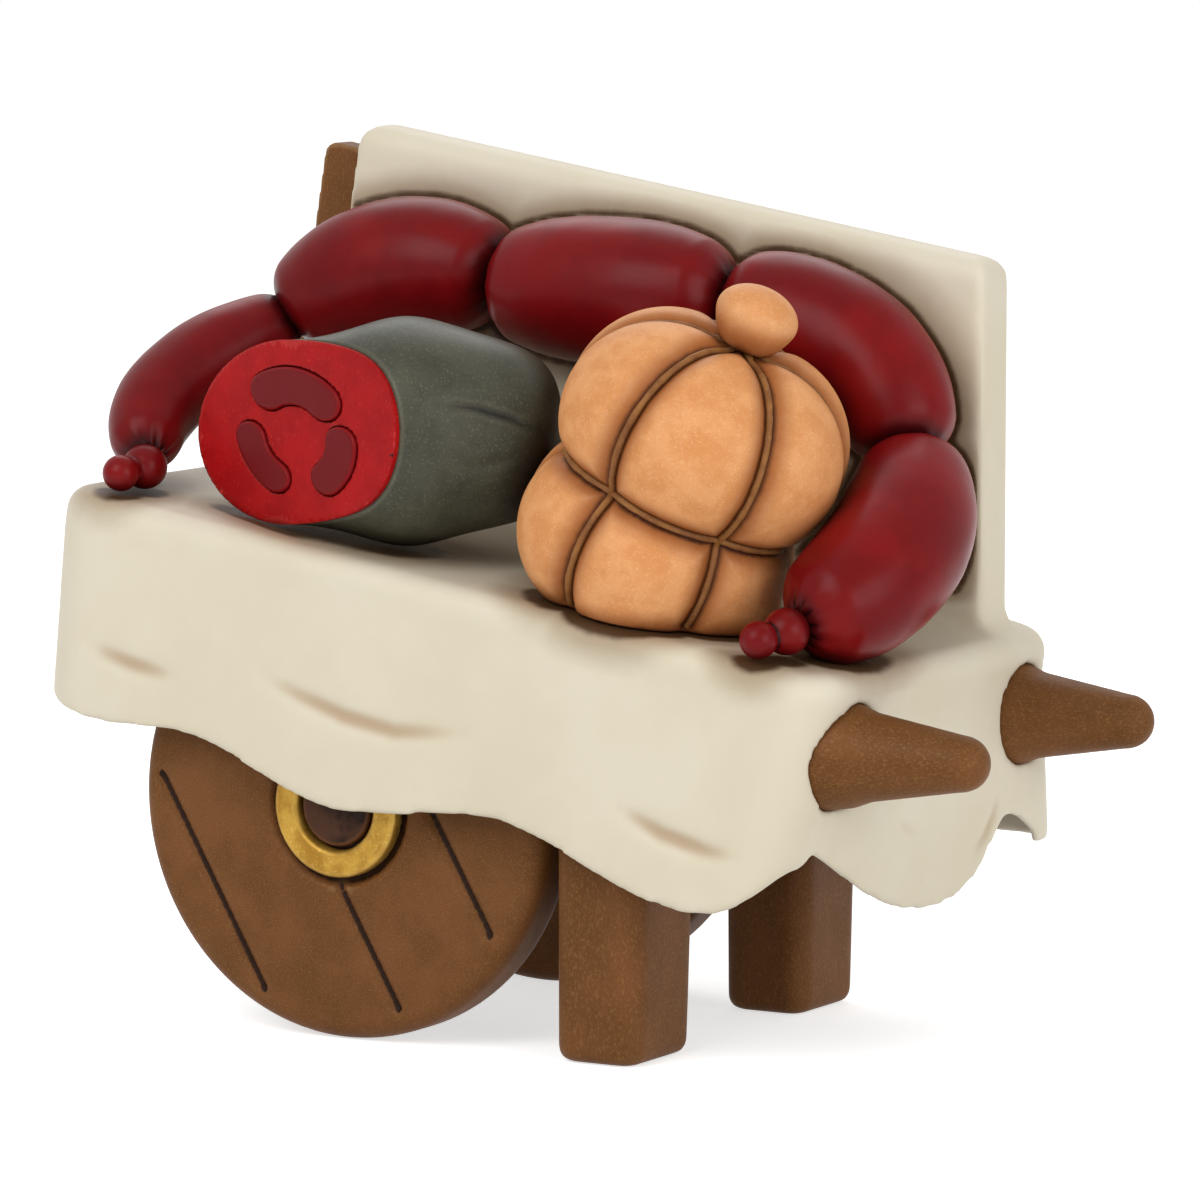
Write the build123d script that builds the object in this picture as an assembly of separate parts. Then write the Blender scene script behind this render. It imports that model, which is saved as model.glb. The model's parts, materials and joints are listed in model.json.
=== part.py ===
from build123d import *
from math import cos, pi, radians, sin, sqrt, tan
import os

# Miniature two-wheeled market barrow, laid with a stiff cloth, sausages, a cut salami and a tied cheese.
# Millimetres. X runs along the barrow towards its handles, Y towards the backboard, Z up from the ground.
# The bed slopes down to the handles, so most pieces are drawn in bed coordinates: u along the bed from the
# bed's origin, v across it, w square to it from the top of the deck.

# Wheels and axle
wheel_radius = 26.5
wheel_width = 8.5
wheel_edge_round = 2.4
wheel_proud = 0.1
axle_x = -19.5
axle_u = 1.6
axle_radius = 2.0
running_clearance = 0.05
seat_clearance = 0.02
side_play = 0.2
washer_radius = 4.2
washer_thickness = 1.4
hub_groove_radius = 9.0
hub_groove_depth = 1.0
hub_ring_outer = 8.0
hub_ring_inner = 4.9
hub_ring_thickness = 1.9
hub_ring_round = 0.7
axle_cap_radius = 4.5
axle_cap_thickness = 1.2
axle_cap_gap = 0.3
axle_cap_round = 0.5
axle_cap_socket = 0.6
board_line_offsets = (-19.5, -4.5, 10.5)
board_line_slant = 60.0
board_line_width = 1.2
board_line_depth = 0.8
board_line_margin = 2.4

# Bed: deck planks on two rails and two end beams
bed_tilt = 9.5
wheel_headroom = 0.3
deck_left = 38.7
deck_right = 57.7
deck_half_width = 26.3
deck_thickness = 3.0
deck_plank_count = 4
plank_gap = 0.2
wheel_well_clearance = 1.0
rail_width = 4.0
rail_depth = 5.5
beam_width = 5.0
beam_depth = 8.5
left_beam_inset = 0.7
bracket_thickness = 5.0
bracket_top_length = 24.0
bracket_boss_radius = 5.0

# Legs
leg_length = 12.2
leg_depth = 14.8
leg_foot_length = 10.6
leg_foot_depth = 13.8
leg_corner_round = 2.6
leg_foot_round = 1.6
leg_wheel_gap = 1.0
leg_tenon_radius = 2.2

# Handles
handle_reach = 20.0
handle_base_radius = 5.9
handle_tip_radius = 3.1
handle_edge = 6.0
handle_drop = 8.0
handle_tenon_radius = 2.2
handle_tenon_length = 3.5
handle_hole_clearance = 0.4

# Backboard: planks held between two stakes
stake_length = 6.0
stake_depth = 4.0
stake_height = 39.5
right_stake_inset = 2.2
stake_round = 1.5
stake_tenon_radius = 1.5
backboard_rise = 1.8
backboard_thickness = 3.0
backboard_plank_count = 3
backboard_foot_gap = 1.6
backboard_tongue = 1.5
tongue_clearance = 0.1

# Cloth
cloth_thickness = 1.3
cloth_gap = 0.2
cloth_wheel_clearance = 1.5
cloth_left_room = 0.6
cloth_right_room = 2.2
cloth_corner = 6.5
cloth_edge_round = 2.6
cloth_brim = 3.0
cloth_skirt_depth = 31.0
cloth_side_flare = 2.0
cloth_left_flare = -3.4
cloth_front_corner_flare = -3.0
cloth_back_corner_flare = 5.0
cloth_fold_u = 20.0
cloth_fold_bulge = 1.2
cloth_corner_zone = 6.0
cloth_stake_lap = 0.9
sleeve_foot_round = 3.0
front_hem = ((-46, 20.0), (-38, 22.6), (-29, 23.6), (-17, 22.2), (3, 26.0), (24, 22.4), (46, 26.6))
front_hem += ((54, 25.4), (60, 18.8), (70, 18.4))
right_hem = ((-36, 18.0), (-22, 19.0), (-7, 26.0), (4, 26.8), (12, 22.5), (16, 18.6), (22, 20.4), (36, 20.6))
back_hem = ((-46, 22.5), (-20, 23.5), (5, 21.5), (30, 23.5), (70, 20.6))
left_hem = ((-36, 20.5), (-24, 22.8), (-13, 24.5), (0, 22.5), (15, 24.5), (36, 22.5))

# Food: places are u along the bed, v from the board's face and w from the cloth

# Sausages: each link runs from tie to tie through its middle
sausage_radii = (5.3, 8.2, 8.5, 7.7, 7.9)
sausage_ties = (
    (-34.2, -32.2, 4.0),
    (-31.5, -10.5, 19.2),
    (-5.6, -8.8, 28.0),
    (24.2, -8.8, 32.2),
    (50.3, -11.2, 19.2),
    (53.0, -36.6, 4.5),
)
sausage_middles = (
    (-38.2, -25.0, 10.3),
    (-20.4, -8.6, 27.0),
    (9.6, -8.9, 30.2),
    (40.0, -8.0, 29.2),
    (55.9, -23.0, 11.1),
)
sausage_end_ratio = 0.45
sausage_swell_power = 3
sausage_section_count = 7
sausage_gap = 0.3
knot_bead_radius = 2.6
knot_end_radius = 2.1
knot_neck_radius = 1.5
left_knot = ((-33.0, -37.2, 2.9), (-33.4, -41.4, 2.4))
right_knot = ((52.6, -39.4, 3.3), (51.2, -42.9, 2.4))

# Salami
salami_face_radius = 10.4
salami_belly_radius = 12.9
salami_shoulder_radius = 11.0
salami_tail_radius = 2.4
salami_belly_at = 14.5
salami_lift = 0.3
salami_length = 29.2
salami_heading = 23.0
salami_face_turn = 71.0
salami_face_u = -14.6
salami_face_v = -37.8
salami_casing_wall = 0.9
salami_face_depth = 2.4
inlay_beans = ((74.0, 98.0, 4.2), (52.0, 226.0, 3.6), (50.0, 346.0, 3.6))
inlay_ring_radius = 5.5
inlay_ring_shift = 2.0
inlay_depth = 0.9
inlay_height = 0.5
inlay_round = 0.3
inlay_clearance = 0.05

# Cheese
cheese_u = 28.0
cheese_v = -30.3
cheese_lean = 17.0
cheese_turn = -6.5
cheese_lobe_count = 6
cheese_ring_radius = 5.7
cheese_lower_lobe = 10.5
cheese_upper_lobe = 11.2
cheese_lower_height = 7.6
cheese_upper_height = 21.4
cheese_crown_radius = 10.0
cheese_crown_height = 22.8
cheese_knob_length = 9.4
cheese_knob_height = 6.4
knob_flat = 0.9
twine_radius = 0.75
twine_clearance = 0.1
twine_bend_radius = 2.5
twine_bends = (-60.0, -10.0, 25.0)

food_gap = 0.2

# Places that follow from the sizes
tilt = radians(bed_tilt)
bed_u = Vector(cos(tilt), 0, -sin(tilt))
bed_w = Vector(sin(tilt), 0, cos(tilt))
wheel_outer_face = deck_half_width + wheel_proud
wheel_inner_face = wheel_outer_face - wheel_width
hub_floor = wheel_outer_face - hub_groove_depth
axle_drop = wheel_radius + wheel_headroom
bed_origin = Vector(axle_x, 0, wheel_radius) + bed_w * axle_drop - bed_u * axle_u
bed = Plane(bed_origin, x_dir=bed_u, z_dir=bed_w)
bracket_outer = wheel_inner_face - side_play - washer_thickness
rail_outer = bracket_outer - bracket_thickness
inner_deck = bracket_outer + washer_thickness / 2
wing_inner = inner_deck + plank_gap
wheel_well = sqrt(wheel_radius**2 - (axle_drop - deck_thickness) ** 2) + wheel_well_clearance
leg_left = axle_x + wheel_radius + leg_wheel_gap
leg_u = (leg_left + leg_length / 2 - bed.origin.X + deck_thickness * sin(tilt)) / cos(tilt)
leg_v = deck_half_width - leg_depth / 2
leg_tenon_v = (wing_inner + deck_half_width) / 2
handle_spread = deck_half_width - handle_edge
stake_front = wing_inner + plank_gap
stake_back = stake_front + stake_depth
cloth_left = deck_left + cloth_left_room + cloth_thickness
cloth_right = deck_right + cloth_right_room + cloth_thickness
backboard_height = stake_height + backboard_rise
board_right = deck_right - right_stake_inset
cloth_half_width = wheel_outer_face + cloth_wheel_clearance + cloth_thickness
cloth_top = cloth_gap + cloth_thickness
board_face = stake_front - cloth_gap - cloth_thickness
board_back = stake_back + cloth_gap + cloth_thickness
food_floor = cloth_top + food_gap
far = 2 * (deck_left + deck_right)
BOTTOM = (Align.CENTER, Align.CENTER, Align.MIN)


def block(u0, u1, v0, v1, w0, w1):
    """Box between two corners in bed coordinates."""
    return Pos((u0 + u1) / 2, (v0 + v1) / 2, (w0 + w1) / 2) * Box(u1 - u0, v1 - v0, w1 - w0)


def prism(points, v0, v1):
    """Outline of (u, w) points drawn out from v0 to v1."""
    outline = Polyline(*[(u, v0, w) for u, w in points], close=True)
    return extrude(make_face(outline), amount=v1 - v0, dir=(0, 1, 0))


def rod(radius, start, end):
    """Straight round bar between two points."""
    axis = Vector(end) - Vector(start)
    return Plane(Vector(start), z_dir=axis) * Cylinder(radius, axis.length, align=BOTTOM)


def on_bed(shape):
    """Moves a piece from bed coordinates to its place on the barrow."""
    return bed.location * shape


def on_axle(y, shape):
    """Moves a piece drawn round Z to the axle, rising towards the back from y."""
    return Plane((axle_x, y, wheel_radius), x_dir=(-1, 0, 0), z_dir=(0, 1, 0)).location * shape


def both_sides(name, back):
    """Back piece and its mirror image at the front of the barrow."""
    return {f"back_{name}": back, f"front_{name}": mirror(back, about=Plane.XZ)}


def tube(radius, height):
    """Upright round bar on the origin."""
    return Cylinder(radius, height, align=BOTTOM)


def make_wheel():
    """Thick disc with a hub groove and engraved board lines on its outer face."""
    disc = fillet(tube(wheel_radius, wheel_width).edges(), wheel_edge_round)
    disc -= tube(axle_radius + running_clearance, wheel_width)
    disc -= Pos(Z=wheel_width - hub_groove_depth) * tube(hub_groove_radius, hub_groove_depth)
    for offset in board_line_offsets:
        length = 2 * sqrt((wheel_radius - board_line_margin) ** 2 - offset**2)
        line = Pos(0, offset, wheel_width - board_line_depth) * SlotOverall(length, board_line_width)
        disc -= Rot(Z=board_line_slant) * extrude(line, board_line_depth)
    return on_axle(wheel_inner_face, disc)


def make_hub_ring():
    """Rounded ring that sits in the middle of the hub groove."""
    ring = tube(hub_ring_outer, hub_ring_thickness) - tube(hub_ring_inner, hub_ring_thickness)
    ring = fillet(ring.edges().group_by(Axis.Z)[-1], hub_ring_round)
    return on_axle(hub_floor, ring)


def make_axle_cap():
    """Cap on the axle end, inside the hub ring, that keeps the wheel on."""
    cap = tube(axle_cap_radius, axle_cap_thickness)
    cap = fillet(cap.edges().group_by(Axis.Z)[-1], axle_cap_round)
    cap -= tube(axle_radius + seat_clearance, axle_cap_socket)
    return on_axle(hub_floor + axle_cap_gap, cap)


def make_axle():
    """Round axle that ends in the sockets of its two caps."""
    half = hub_floor + axle_cap_gap + axle_cap_socket - seat_clearance
    return on_axle(-half, tube(axle_radius, 2 * half))


def make_washer():
    """Spacer between the axle bracket and the wheel."""
    ring = tube(washer_radius, washer_thickness) - tube(axle_radius + seat_clearance, washer_thickness)
    return on_axle(bracket_outer, ring)


def make_bracket():
    """Hanger from the deck to the axle, narrowing to a round boss."""
    top = bracket_top_length / 2
    boss = bracket_boss_radius
    corners = [(-top, -deck_thickness), (top, -deck_thickness), (boss, -axle_drop), (-boss, -axle_drop)]
    ends = (0, rail_outer, -axle_drop), (0, bracket_outer, -axle_drop)
    plate = prism(corners, rail_outer, bracket_outer) + rod(boss, *ends)
    return on_bed(Pos(X=axle_u) * (plate - rod(axle_radius + seat_clearance, *ends)))


def make_leg():
    """Tapered block leg, square to the wheel side, with a round tenon up into the deck."""
    top = bed.origin.Z + bed.origin.Z * sin(tilt)
    head = RectangleRounded(leg_length, leg_depth, leg_corner_round)
    head = Pos(leg_left + leg_length / 2, leg_v, top) * head
    foot_v = deck_half_width - leg_foot_depth / 2
    foot = RectangleRounded(leg_foot_length, leg_foot_depth, leg_corner_round)
    leg = loft([Pos(leg_left + leg_foot_length / 2, foot_v) * foot, head])
    leg = fillet(leg.edges().group_by(Axis.Z)[0], leg_foot_round)
    leg -= on_bed(block(-far, far, -far, far, -deck_thickness, far))
    tenon = rod(leg_tenon_radius, (leg_u, leg_tenon_v, -2 * deck_thickness), (leg_u, leg_tenon_v, 0))
    return leg + on_bed(tenon)


def handle_root():
    """Middle of the back handle's base on the end of the deck."""
    return bed.from_local_coords(Vector(deck_right, handle_spread, -handle_drop))


def handle_cone(extra):
    """Tapered round-nosed grip along X from the origin, reaching back past it, with extra radius all over."""
    nose = handle_reach - handle_tip_radius
    taper = (handle_base_radius - handle_tip_radius) / nose
    start = -handle_base_radius
    back_radius = handle_base_radius - taper * start
    corners = [(start, 0), (start, back_radius + extra), (nose, handle_tip_radius + extra), (nose, 0)]
    cone = revolve(make_face(Polyline(*corners, close=True)), Axis.X)
    return cone + Pos(nose) * Sphere(handle_tip_radius + extra)


def handle_tenon(extra):
    """Round tenon of a handle, with extra radius and length for its hole."""
    root = handle_root()
    tip = root - Vector(handle_tenon_length + extra, 0, 0)
    return rod(handle_tenon_radius + extra, tip, root + Vector(handle_tip_radius, 0, 0))


def make_handle():
    """Handle, level with the ground, with a tenon in the end beam."""
    grip = Pos(handle_root()) * handle_cone(0)
    grip -= on_bed(block(-far, deck_right, -far, far, -far, far))
    return grip + handle_tenon(0)


def deck_outline():
    """Outline of the deck with rounded corners, as deep as the beams under it."""
    depth = deck_thickness + beam_depth
    outline = block(-deck_left, deck_right, -deck_half_width, deck_half_width, -depth, 0)
    return fillet(outline.edges().filter_by(Axis.Z), cloth_corner - cloth_thickness)


def make_deck():
    """Full-length planks between the wheels and short planks before and behind each wheel."""
    pieces = {}
    outline = deck_outline()
    width = (2 * inner_deck + plank_gap) / deck_plank_count - plank_gap
    for index in range(deck_plank_count):
        v = -inner_deck + index * (width + plank_gap)
        plank = block(-deck_left, deck_right, v, v + width, -deck_thickness, 0)
        pieces[f"deck_plank_{index + 1}"] = on_bed(plank)
    low = -deck_thickness
    left = outline & block(-deck_left, axle_u - wheel_well, wing_inner, deck_half_width, low, 0)
    right = outline & block(axle_u + wheel_well, deck_right, wing_inner, deck_half_width, low, 0)
    ends = (leg_u, leg_tenon_v, low), (leg_u, leg_tenon_v, 0)
    right -= rod(leg_tenon_radius + seat_clearance, *ends)
    pieces["front_left_plank"] = mirror(on_bed(left), about=Plane.XZ)
    pieces["front_right_plank"] = mirror(on_bed(right), about=Plane.XZ)
    pieces["back_left_plank"] = on_bed(left - stake_tenon(left_stake_foot(), seat_clearance))
    pieces["back_right_plank"] = on_bed(right - stake_tenon(right_stake_foot(), seat_clearance))
    return pieces


def make_bearers():
    """Two rails under the planks and an end beam across each end."""
    low = -deck_thickness - beam_depth
    rail_low = -deck_thickness - rail_depth
    left_start = -deck_left + left_beam_inset
    left_end = left_start + beam_width
    right_end = deck_right - beam_width
    rail = block(left_end, right_end, rail_outer - rail_width, rail_outer, rail_low, -deck_thickness)
    half = deck_half_width
    outline = deck_outline()
    left_beam = on_bed(outline & block(left_start, left_end, -half, half, low, -deck_thickness))
    right_beam = on_bed(outline & block(right_end, deck_right, -half, half, low, -deck_thickness))
    hole = handle_tenon(seat_clearance)
    right_beam -= hole
    right_beam -= mirror(hole, about=Plane.XZ)
    pieces = {"left_end_beam": left_beam, "right_end_beam": right_beam}
    return pieces | both_sides("rail", on_bed(rail))


def left_stake_foot():
    """Middle of the left stake where it meets the deck, along u."""
    return -deck_left + stake_length / 2


def right_stake_foot():
    """Middle of the right stake where it meets the deck, along u."""
    return board_right - stake_length / 2


def stake_tenon(u, extra):
    """Round tenon of a stake through the deck, with extra radius for its hole."""
    v = (stake_front + stake_back) / 2
    return rod(stake_tenon_radius + extra, (u, v, -deck_thickness), (u, v, 0))


def slanted(u, w):
    """Point on the right-hand side of the backboard, which stands plumb on the sloping bed."""
    return u - w * tan(tilt), w


def rounded_stake(side):
    """Stake drawn from its side outline, with its top corners rounded."""
    stake = prism(side, stake_front, stake_back)
    return fillet(stake.edges().filter_by(Axis.Y).group_by(Axis.Z)[-1], stake_round)


def make_backboard():
    """Two stakes on the deck with grooves, and planks whose tongues sit in them."""
    left_inner = -deck_left + stake_length
    right_inner = board_right - stake_length
    side = [(-deck_left, 0), (left_inner, 0), (left_inner, stake_height), (-deck_left, stake_height)]
    left = rounded_stake(side)
    side = [slanted(right_inner, 0), slanted(board_right, 0), slanted(board_right, stake_height)]
    side.append(slanted(right_inner, stake_height))
    right = rounded_stake(side)
    front = (stake_front + stake_back - backboard_thickness) / 2
    back = front + backboard_thickness
    gap = tongue_clearance
    start = left_inner - backboard_tongue
    end = right_inner + backboard_tongue
    groove = [(start - gap, 0), slanted(end + gap, 0)]
    groove += [slanted(end + gap, stake_height), (start - gap, stake_height)]
    slot = prism(groove, front - gap, back + gap)
    pieces = {
        "left_stake": on_bed(left - slot + stake_tenon(left_stake_foot(), 0)),
        "right_stake": on_bed(right - slot + stake_tenon(right_stake_foot(), 0)),
    }
    pitch = (backboard_height - backboard_foot_gap + plank_gap) / backboard_plank_count
    for index in range(backboard_plank_count):
        low = backboard_foot_gap + index * pitch
        high = low + pitch - plank_gap
        plank = [(start, low), slanted(end, low), slanted(end, high), (start, high)]
        pieces[f"backboard_plank_{index + 1}"] = on_bed(prism(plank, front, back))
    return pieces


def cloth_side(start, end, bulge):
    """One stretch of the cloth's outline, swelling outwards by bulge."""
    if bulge == 0:
        return Line(start, end)
    along = Vector(end) - Vector(start)
    outward = Vector(along.Y, -along.X, 0).normalized()
    return ThreePointArc(start, (Vector(start) + Vector(end)) / 2 + outward * bulge, end)


def cloth_outline(w, inset, spread):
    """Outline of the cloth at height w: spread 0 is the table edge, 1 the foot of the skirt."""
    left = -cloth_left - spread * cloth_left_flare + inset
    front_right = cloth_right + spread * cloth_front_corner_flare - inset
    back_right = cloth_right + spread * cloth_back_corner_flare - inset
    half = cloth_half_width + spread * cloth_side_flare - inset
    bulge = spread * cloth_fold_bulge
    corner = cloth_corner - inset
    middle = cloth_fold_u
    nook = corner * (1 - sqrt(0.5))
    points = [(left + corner, -half), (middle, -half)]
    points += [(front_right - corner, -half), (front_right, corner - half)]
    points += [(back_right, half - corner), (back_right - corner, half)]
    points += [(middle, half), (left + corner, half), (left, half - corner), (left, corner - half)]
    points = [(u, v, w) for u, v in points]
    nooks = {2: (front_right - nook, nook - half, w), 4: (back_right - nook, half - nook, w)}
    nooks |= {7: (left + nook, half - nook, w), 9: (left + nook, nook - half, w)}
    edges = []
    for index, start in enumerate(points):
        end = points[(index + 1) % len(points)]
        if index in nooks:
            edges.append(ThreePointArc(start, nooks[index], end))
        else:
            edges.append(cloth_side(start, end, bulge))
    return Wire(edges)


def hem_cut(hem, place, near, distance, direction):
    """Everything under one side's hem: hem points placed on the plane near, drawn out by distance."""
    points = [place(along, -drop, near) for along, drop in hem]
    last, first = hem[-1][0], hem[0][0]
    floor = [points[-1], place(last, -far, near), place(first, -far, near), points[0]]
    edges = [Spline(*points)] + [Line(a, b) for a, b in zip(floor, floor[1:])]
    return extrude(make_face(edges), amount=distance, dir=direction)


def along_u(along, w, near):
    """Hem point of the front or back skirt."""
    return along, near, w


def along_v(along, w, near):
    """Hem point of the left or right skirt."""
    return near, along, w


def cloth_table(inset, top):
    """Straight-edged upper part of the cloth, filled, up to the height top."""
    return extrude(Face(cloth_outline(-cloth_brim, inset, 0)), amount=top + cloth_brim, dir=(0, 0, 1))


def cloth_skirts(inset):
    """Flaring lower part of the cloth, filled."""
    foot = cloth_outline(-cloth_skirt_depth, inset, 1)
    return Solid.make_loft([foot, cloth_outline(-cloth_brim, inset, 0)], True)


def sleeve_block(start, end, head):
    """Filled sleeve, whose right-hand side runs out onto the table in a hollow curve."""
    reach = sleeve_foot_round
    turn_u, turn_w = slanted(end, cloth_top + reach)
    centre_u = turn_u + reach
    nook = reach * sqrt(0.5)
    outline = [(centre_u, cloth_top), (centre_u, 0), (start, 0), (start, head)]
    outline += [slanted(end, head), (turn_u, turn_w)]
    outline = [(u, board_face, w) for u, w in outline]
    hollow = ThreePointArc(outline[-1], (centre_u - nook, board_face, turn_w - nook), outline[0])
    return extrude(make_face([Polyline(*outline), hollow]), amount=board_back - board_face, dir=(0, 1, 0))


def make_cloth():
    """Stiff cloth in one piece: table cover with four skirts, and a sleeve over the backboard."""
    table = cloth_table(0, cloth_top)
    cover = fillet(table.edges().group_by(Axis.Z)[-1], cloth_edge_round) + cloth_skirts(0)
    start = -deck_left + stake_length - cloth_stake_lap
    head = backboard_height + cloth_gap + cloth_thickness
    end = board_right + cloth_gap + cloth_thickness
    sleeve = sleeve_block(start, end, head)
    sleeve = fillet(sleeve.edges().filter_by(GeomType.LINE).group_by(Axis.Z)[-1], cloth_edge_round)
    cover += sleeve
    cover -= cloth_table(cloth_thickness, cloth_gap) + cloth_skirts(cloth_thickness)
    pocket_head = head - cloth_thickness
    pocket_end = end - cloth_thickness
    pocket = [(-deck_left - cloth_gap, 0), slanted(pocket_end, 0), slanted(pocket_end, pocket_head)]
    pocket.append((-deck_left - cloth_gap, pocket_head))
    cover -= prism(pocket, board_face + cloth_thickness, board_back - cloth_thickness)
    zone = cloth_half_width - cloth_corner_zone
    cover -= hem_cut(front_hem, along_u, -zone, far, (0, -1, 0))
    cover -= hem_cut(back_hem, along_u, zone, far, (0, 1, 0))
    sides = block(-far, far, -zone, zone, -far, far)
    cover -= hem_cut(left_hem, along_v, cloth_corner - cloth_left, far, (-1, 0, 0)) & sides
    cover -= hem_cut(right_hem, along_v, cloth_right - 2 * cloth_corner, far, (1, 0, 0)) & sides
    cover = on_bed(cover)
    hole = Pos(handle_root()) * handle_cone(handle_hole_clearance)
    cover -= hole
    cover -= mirror(hole, about=Plane.XZ)
    return cover


def bed_point(place):
    """Point of the sausage string, given from the board face and the cloth."""
    u, v, w = place
    return Vector(u, board_face + v, cloth_top + w)


def make_sausages():
    """String of links that swell between their ties, each cut square where it presses on the next."""
    ties = [bed_point(place) for place in sausage_ties]
    middles = [bed_point(place) for place in sausage_middles]
    spines = [Bezier(a, m * 2 - (a + b) / 2, b) for a, m, b in zip(ties, middles, ties[1:])]
    pieces = {}
    for index, spine in enumerate(spines):
        sections = []
        for step in range(sausage_section_count):
            place = (1 - cos(pi * step / (sausage_section_count - 1))) / 2
            swell = 1 - (1 - sausage_end_ratio) * abs(2 * place - 1) ** sausage_swell_power
            section = Circle(sausage_radii[index] * swell)
            sections.append(Plane(spine @ place, z_dir=spine % place) * section)
        link = loft(sections)
        if index > 0:
            square = (spines[index - 1] % 1 + spine % 0).normalized()
            link = split(link, Plane(spine @ 0 + square * sausage_gap / 2, z_dir=square), Keep.TOP)
        if index < len(spines) - 1:
            square = (spine % 1 + spines[index + 1] % 0).normalized()
            link = split(link, Plane(spine @ 1 - square * sausage_gap / 2, z_dir=square), Keep.BOTTOM)
        pieces[f"sausage_link_{index + 1}"] = on_bed(link)
    pieces["left_sausage_knot"] = make_knot(left_knot)
    pieces["right_sausage_knot"] = make_knot(right_knot)
    return pieces


def make_knot(places):
    """Two beads on a neck where the casing is tied off."""
    bead, end = [bed_point(place) for place in places]
    knot = Pos(bead) * Sphere(knot_bead_radius) + rod(knot_neck_radius, bead, end)
    return on_bed(knot + Pos(end) * Sphere(knot_end_radius))


def salami_log(skin):
    """Swelling log round Z with its cut at the origin, with skin taken off its radius."""
    reach = -2 * salami_face_radius
    shoulder = (salami_belly_at + salami_length) / 2
    points = [
        (salami_face_radius - skin, 0),
        (salami_belly_radius - skin, salami_belly_at),
        (salami_shoulder_radius - skin, shoulder),
        (salami_tail_radius, salami_length - skin),
    ]
    points = [(radius, 0, along) for radius, along in points]
    ends = [points[-1], (0, 0, salami_length - skin), (0, 0, reach)]
    ends += [(salami_face_radius - skin, 0, reach), points[0]]
    edges = [Spline(*points, tangents=[(0, 0, 1), (-1, 0, 0)])]
    edges += [Line(a, b) for a, b in zip(ends, ends[1:])]
    return revolve(make_face(edges), Axis.Z)


def inlay_bean(arc, turn, width, clearance):
    """Bean-shaped outline on the ring of inlays, stretched as the slanting face is and shifted to its middle."""
    stretch = 1 / cos(radians(salami_face_turn - salami_heading))
    spine = CenterArc((0, 0), inlay_ring_radius, turn - arc / 2, arc)
    return Pos(inlay_ring_shift) * scale(SlotArc(spine, width + 2 * clearance), by=(stretch, 1, 1))


def make_salami():
    """Casing with a slanting cut, the meat set in it, and three inlays let into the meat."""
    rise = salami_belly_radius - salami_face_radius
    heading = radians(salami_heading)
    level = sqrt(salami_belly_at**2 - rise**2)
    axis = Vector(level * cos(heading), level * sin(heading), rise)
    turn = radians(salami_face_turn)
    height = food_floor + salami_lift + salami_face_radius
    centre = Vector(salami_face_u, board_face + salami_face_v, height)
    lay = Plane(centre, z_dir=axis).location
    face = Plane(centre, x_dir=(sin(turn), -cos(turn), 0), z_dir=(-cos(turn), -sin(turn), 0))
    floor = face.offset(-salami_face_depth)
    casing = split(lay * salami_log(0), face, Keep.BOTTOM)
    casing -= split(lay * salami_log(salami_casing_wall - seat_clearance), floor, Keep.TOP)
    meat = split(split(lay * salami_log(salami_casing_wall), face, Keep.BOTTOM), floor, Keep.TOP)
    inlays = []
    for arc, middle, width in inlay_beans:
        pocket = extrude(inlay_bean(arc, middle, width, inlay_clearance), -inlay_depth)
        bean = Pos(Z=-inlay_depth) * extrude(inlay_bean(arc, middle, width, 0), inlay_depth + inlay_height)
        meat -= face.location * pocket
        inlays.append(fillet(bean.edges().group_by(Axis.Z)[-1], inlay_round))
    inlays = face.location * Compound(children=inlays)
    pieces = {"salami_casing": casing, "salami_cut_face": meat, "salami_inlays": inlays}
    return {name: on_bed(piece) for name, piece in pieces.items()}


def twine_loop(extra):
    """String over the cheese in the furrow between two lobes, from foot to foot, with extra radius."""
    half_pitch = pi / cheese_lobe_count
    inner = cheese_ring_radius * cos(half_pitch)
    lower = sqrt(cheese_lower_lobe**2 - (cheese_ring_radius * sin(half_pitch)) ** 2)
    upper = sqrt(cheese_upper_lobe**2 - (cheese_ring_radius * sin(half_pitch)) ** 2)
    waist = (cheese_lower_height + cheese_upper_height) / 2
    bends = [radians(angle) for angle in twine_bends]
    side = [(inner + lower * cos(a), cheese_lower_height + lower * sin(a)) for a in bends]
    side.append((inner + sqrt(lower**2 - (waist - cheese_lower_height) ** 2), waist))
    side += [(inner + upper * cos(-a), cheese_upper_height + upper * sin(-a)) for a in reversed(bends)]
    crown = cheese_crown_height + cheese_crown_radius
    points = [(r, 0, z) for r, z in side] + [(0, 0, crown)] + [(-r, 0, z) for r, z in reversed(side)]
    path = FilletPolyline(*points, radius=twine_bend_radius)
    return sweep(Plane(path @ 0, z_dir=path % 0) * Circle(twine_radius + extra), path=path)


def make_twine(extra):
    """Waist string and the strings over the top, tied where they cross."""
    gap = cheese_upper_height - cheese_lower_height
    high = (gap**2 + cheese_lower_lobe**2 - cheese_upper_lobe**2) / (2 * gap)
    waist_radius = cheese_ring_radius + sqrt(cheese_lower_lobe**2 - high**2) - twine_radius / 2
    loop = twine_loop(extra)
    pitch = 360 / cheese_lobe_count
    loops = [Rot(Z=(index + 0.5) * pitch) * loop for index in range(cheese_lobe_count // 2)]
    return Pos(Z=cheese_lower_height + high) * Torus(waist_radius, twine_radius + extra) + loops


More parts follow.
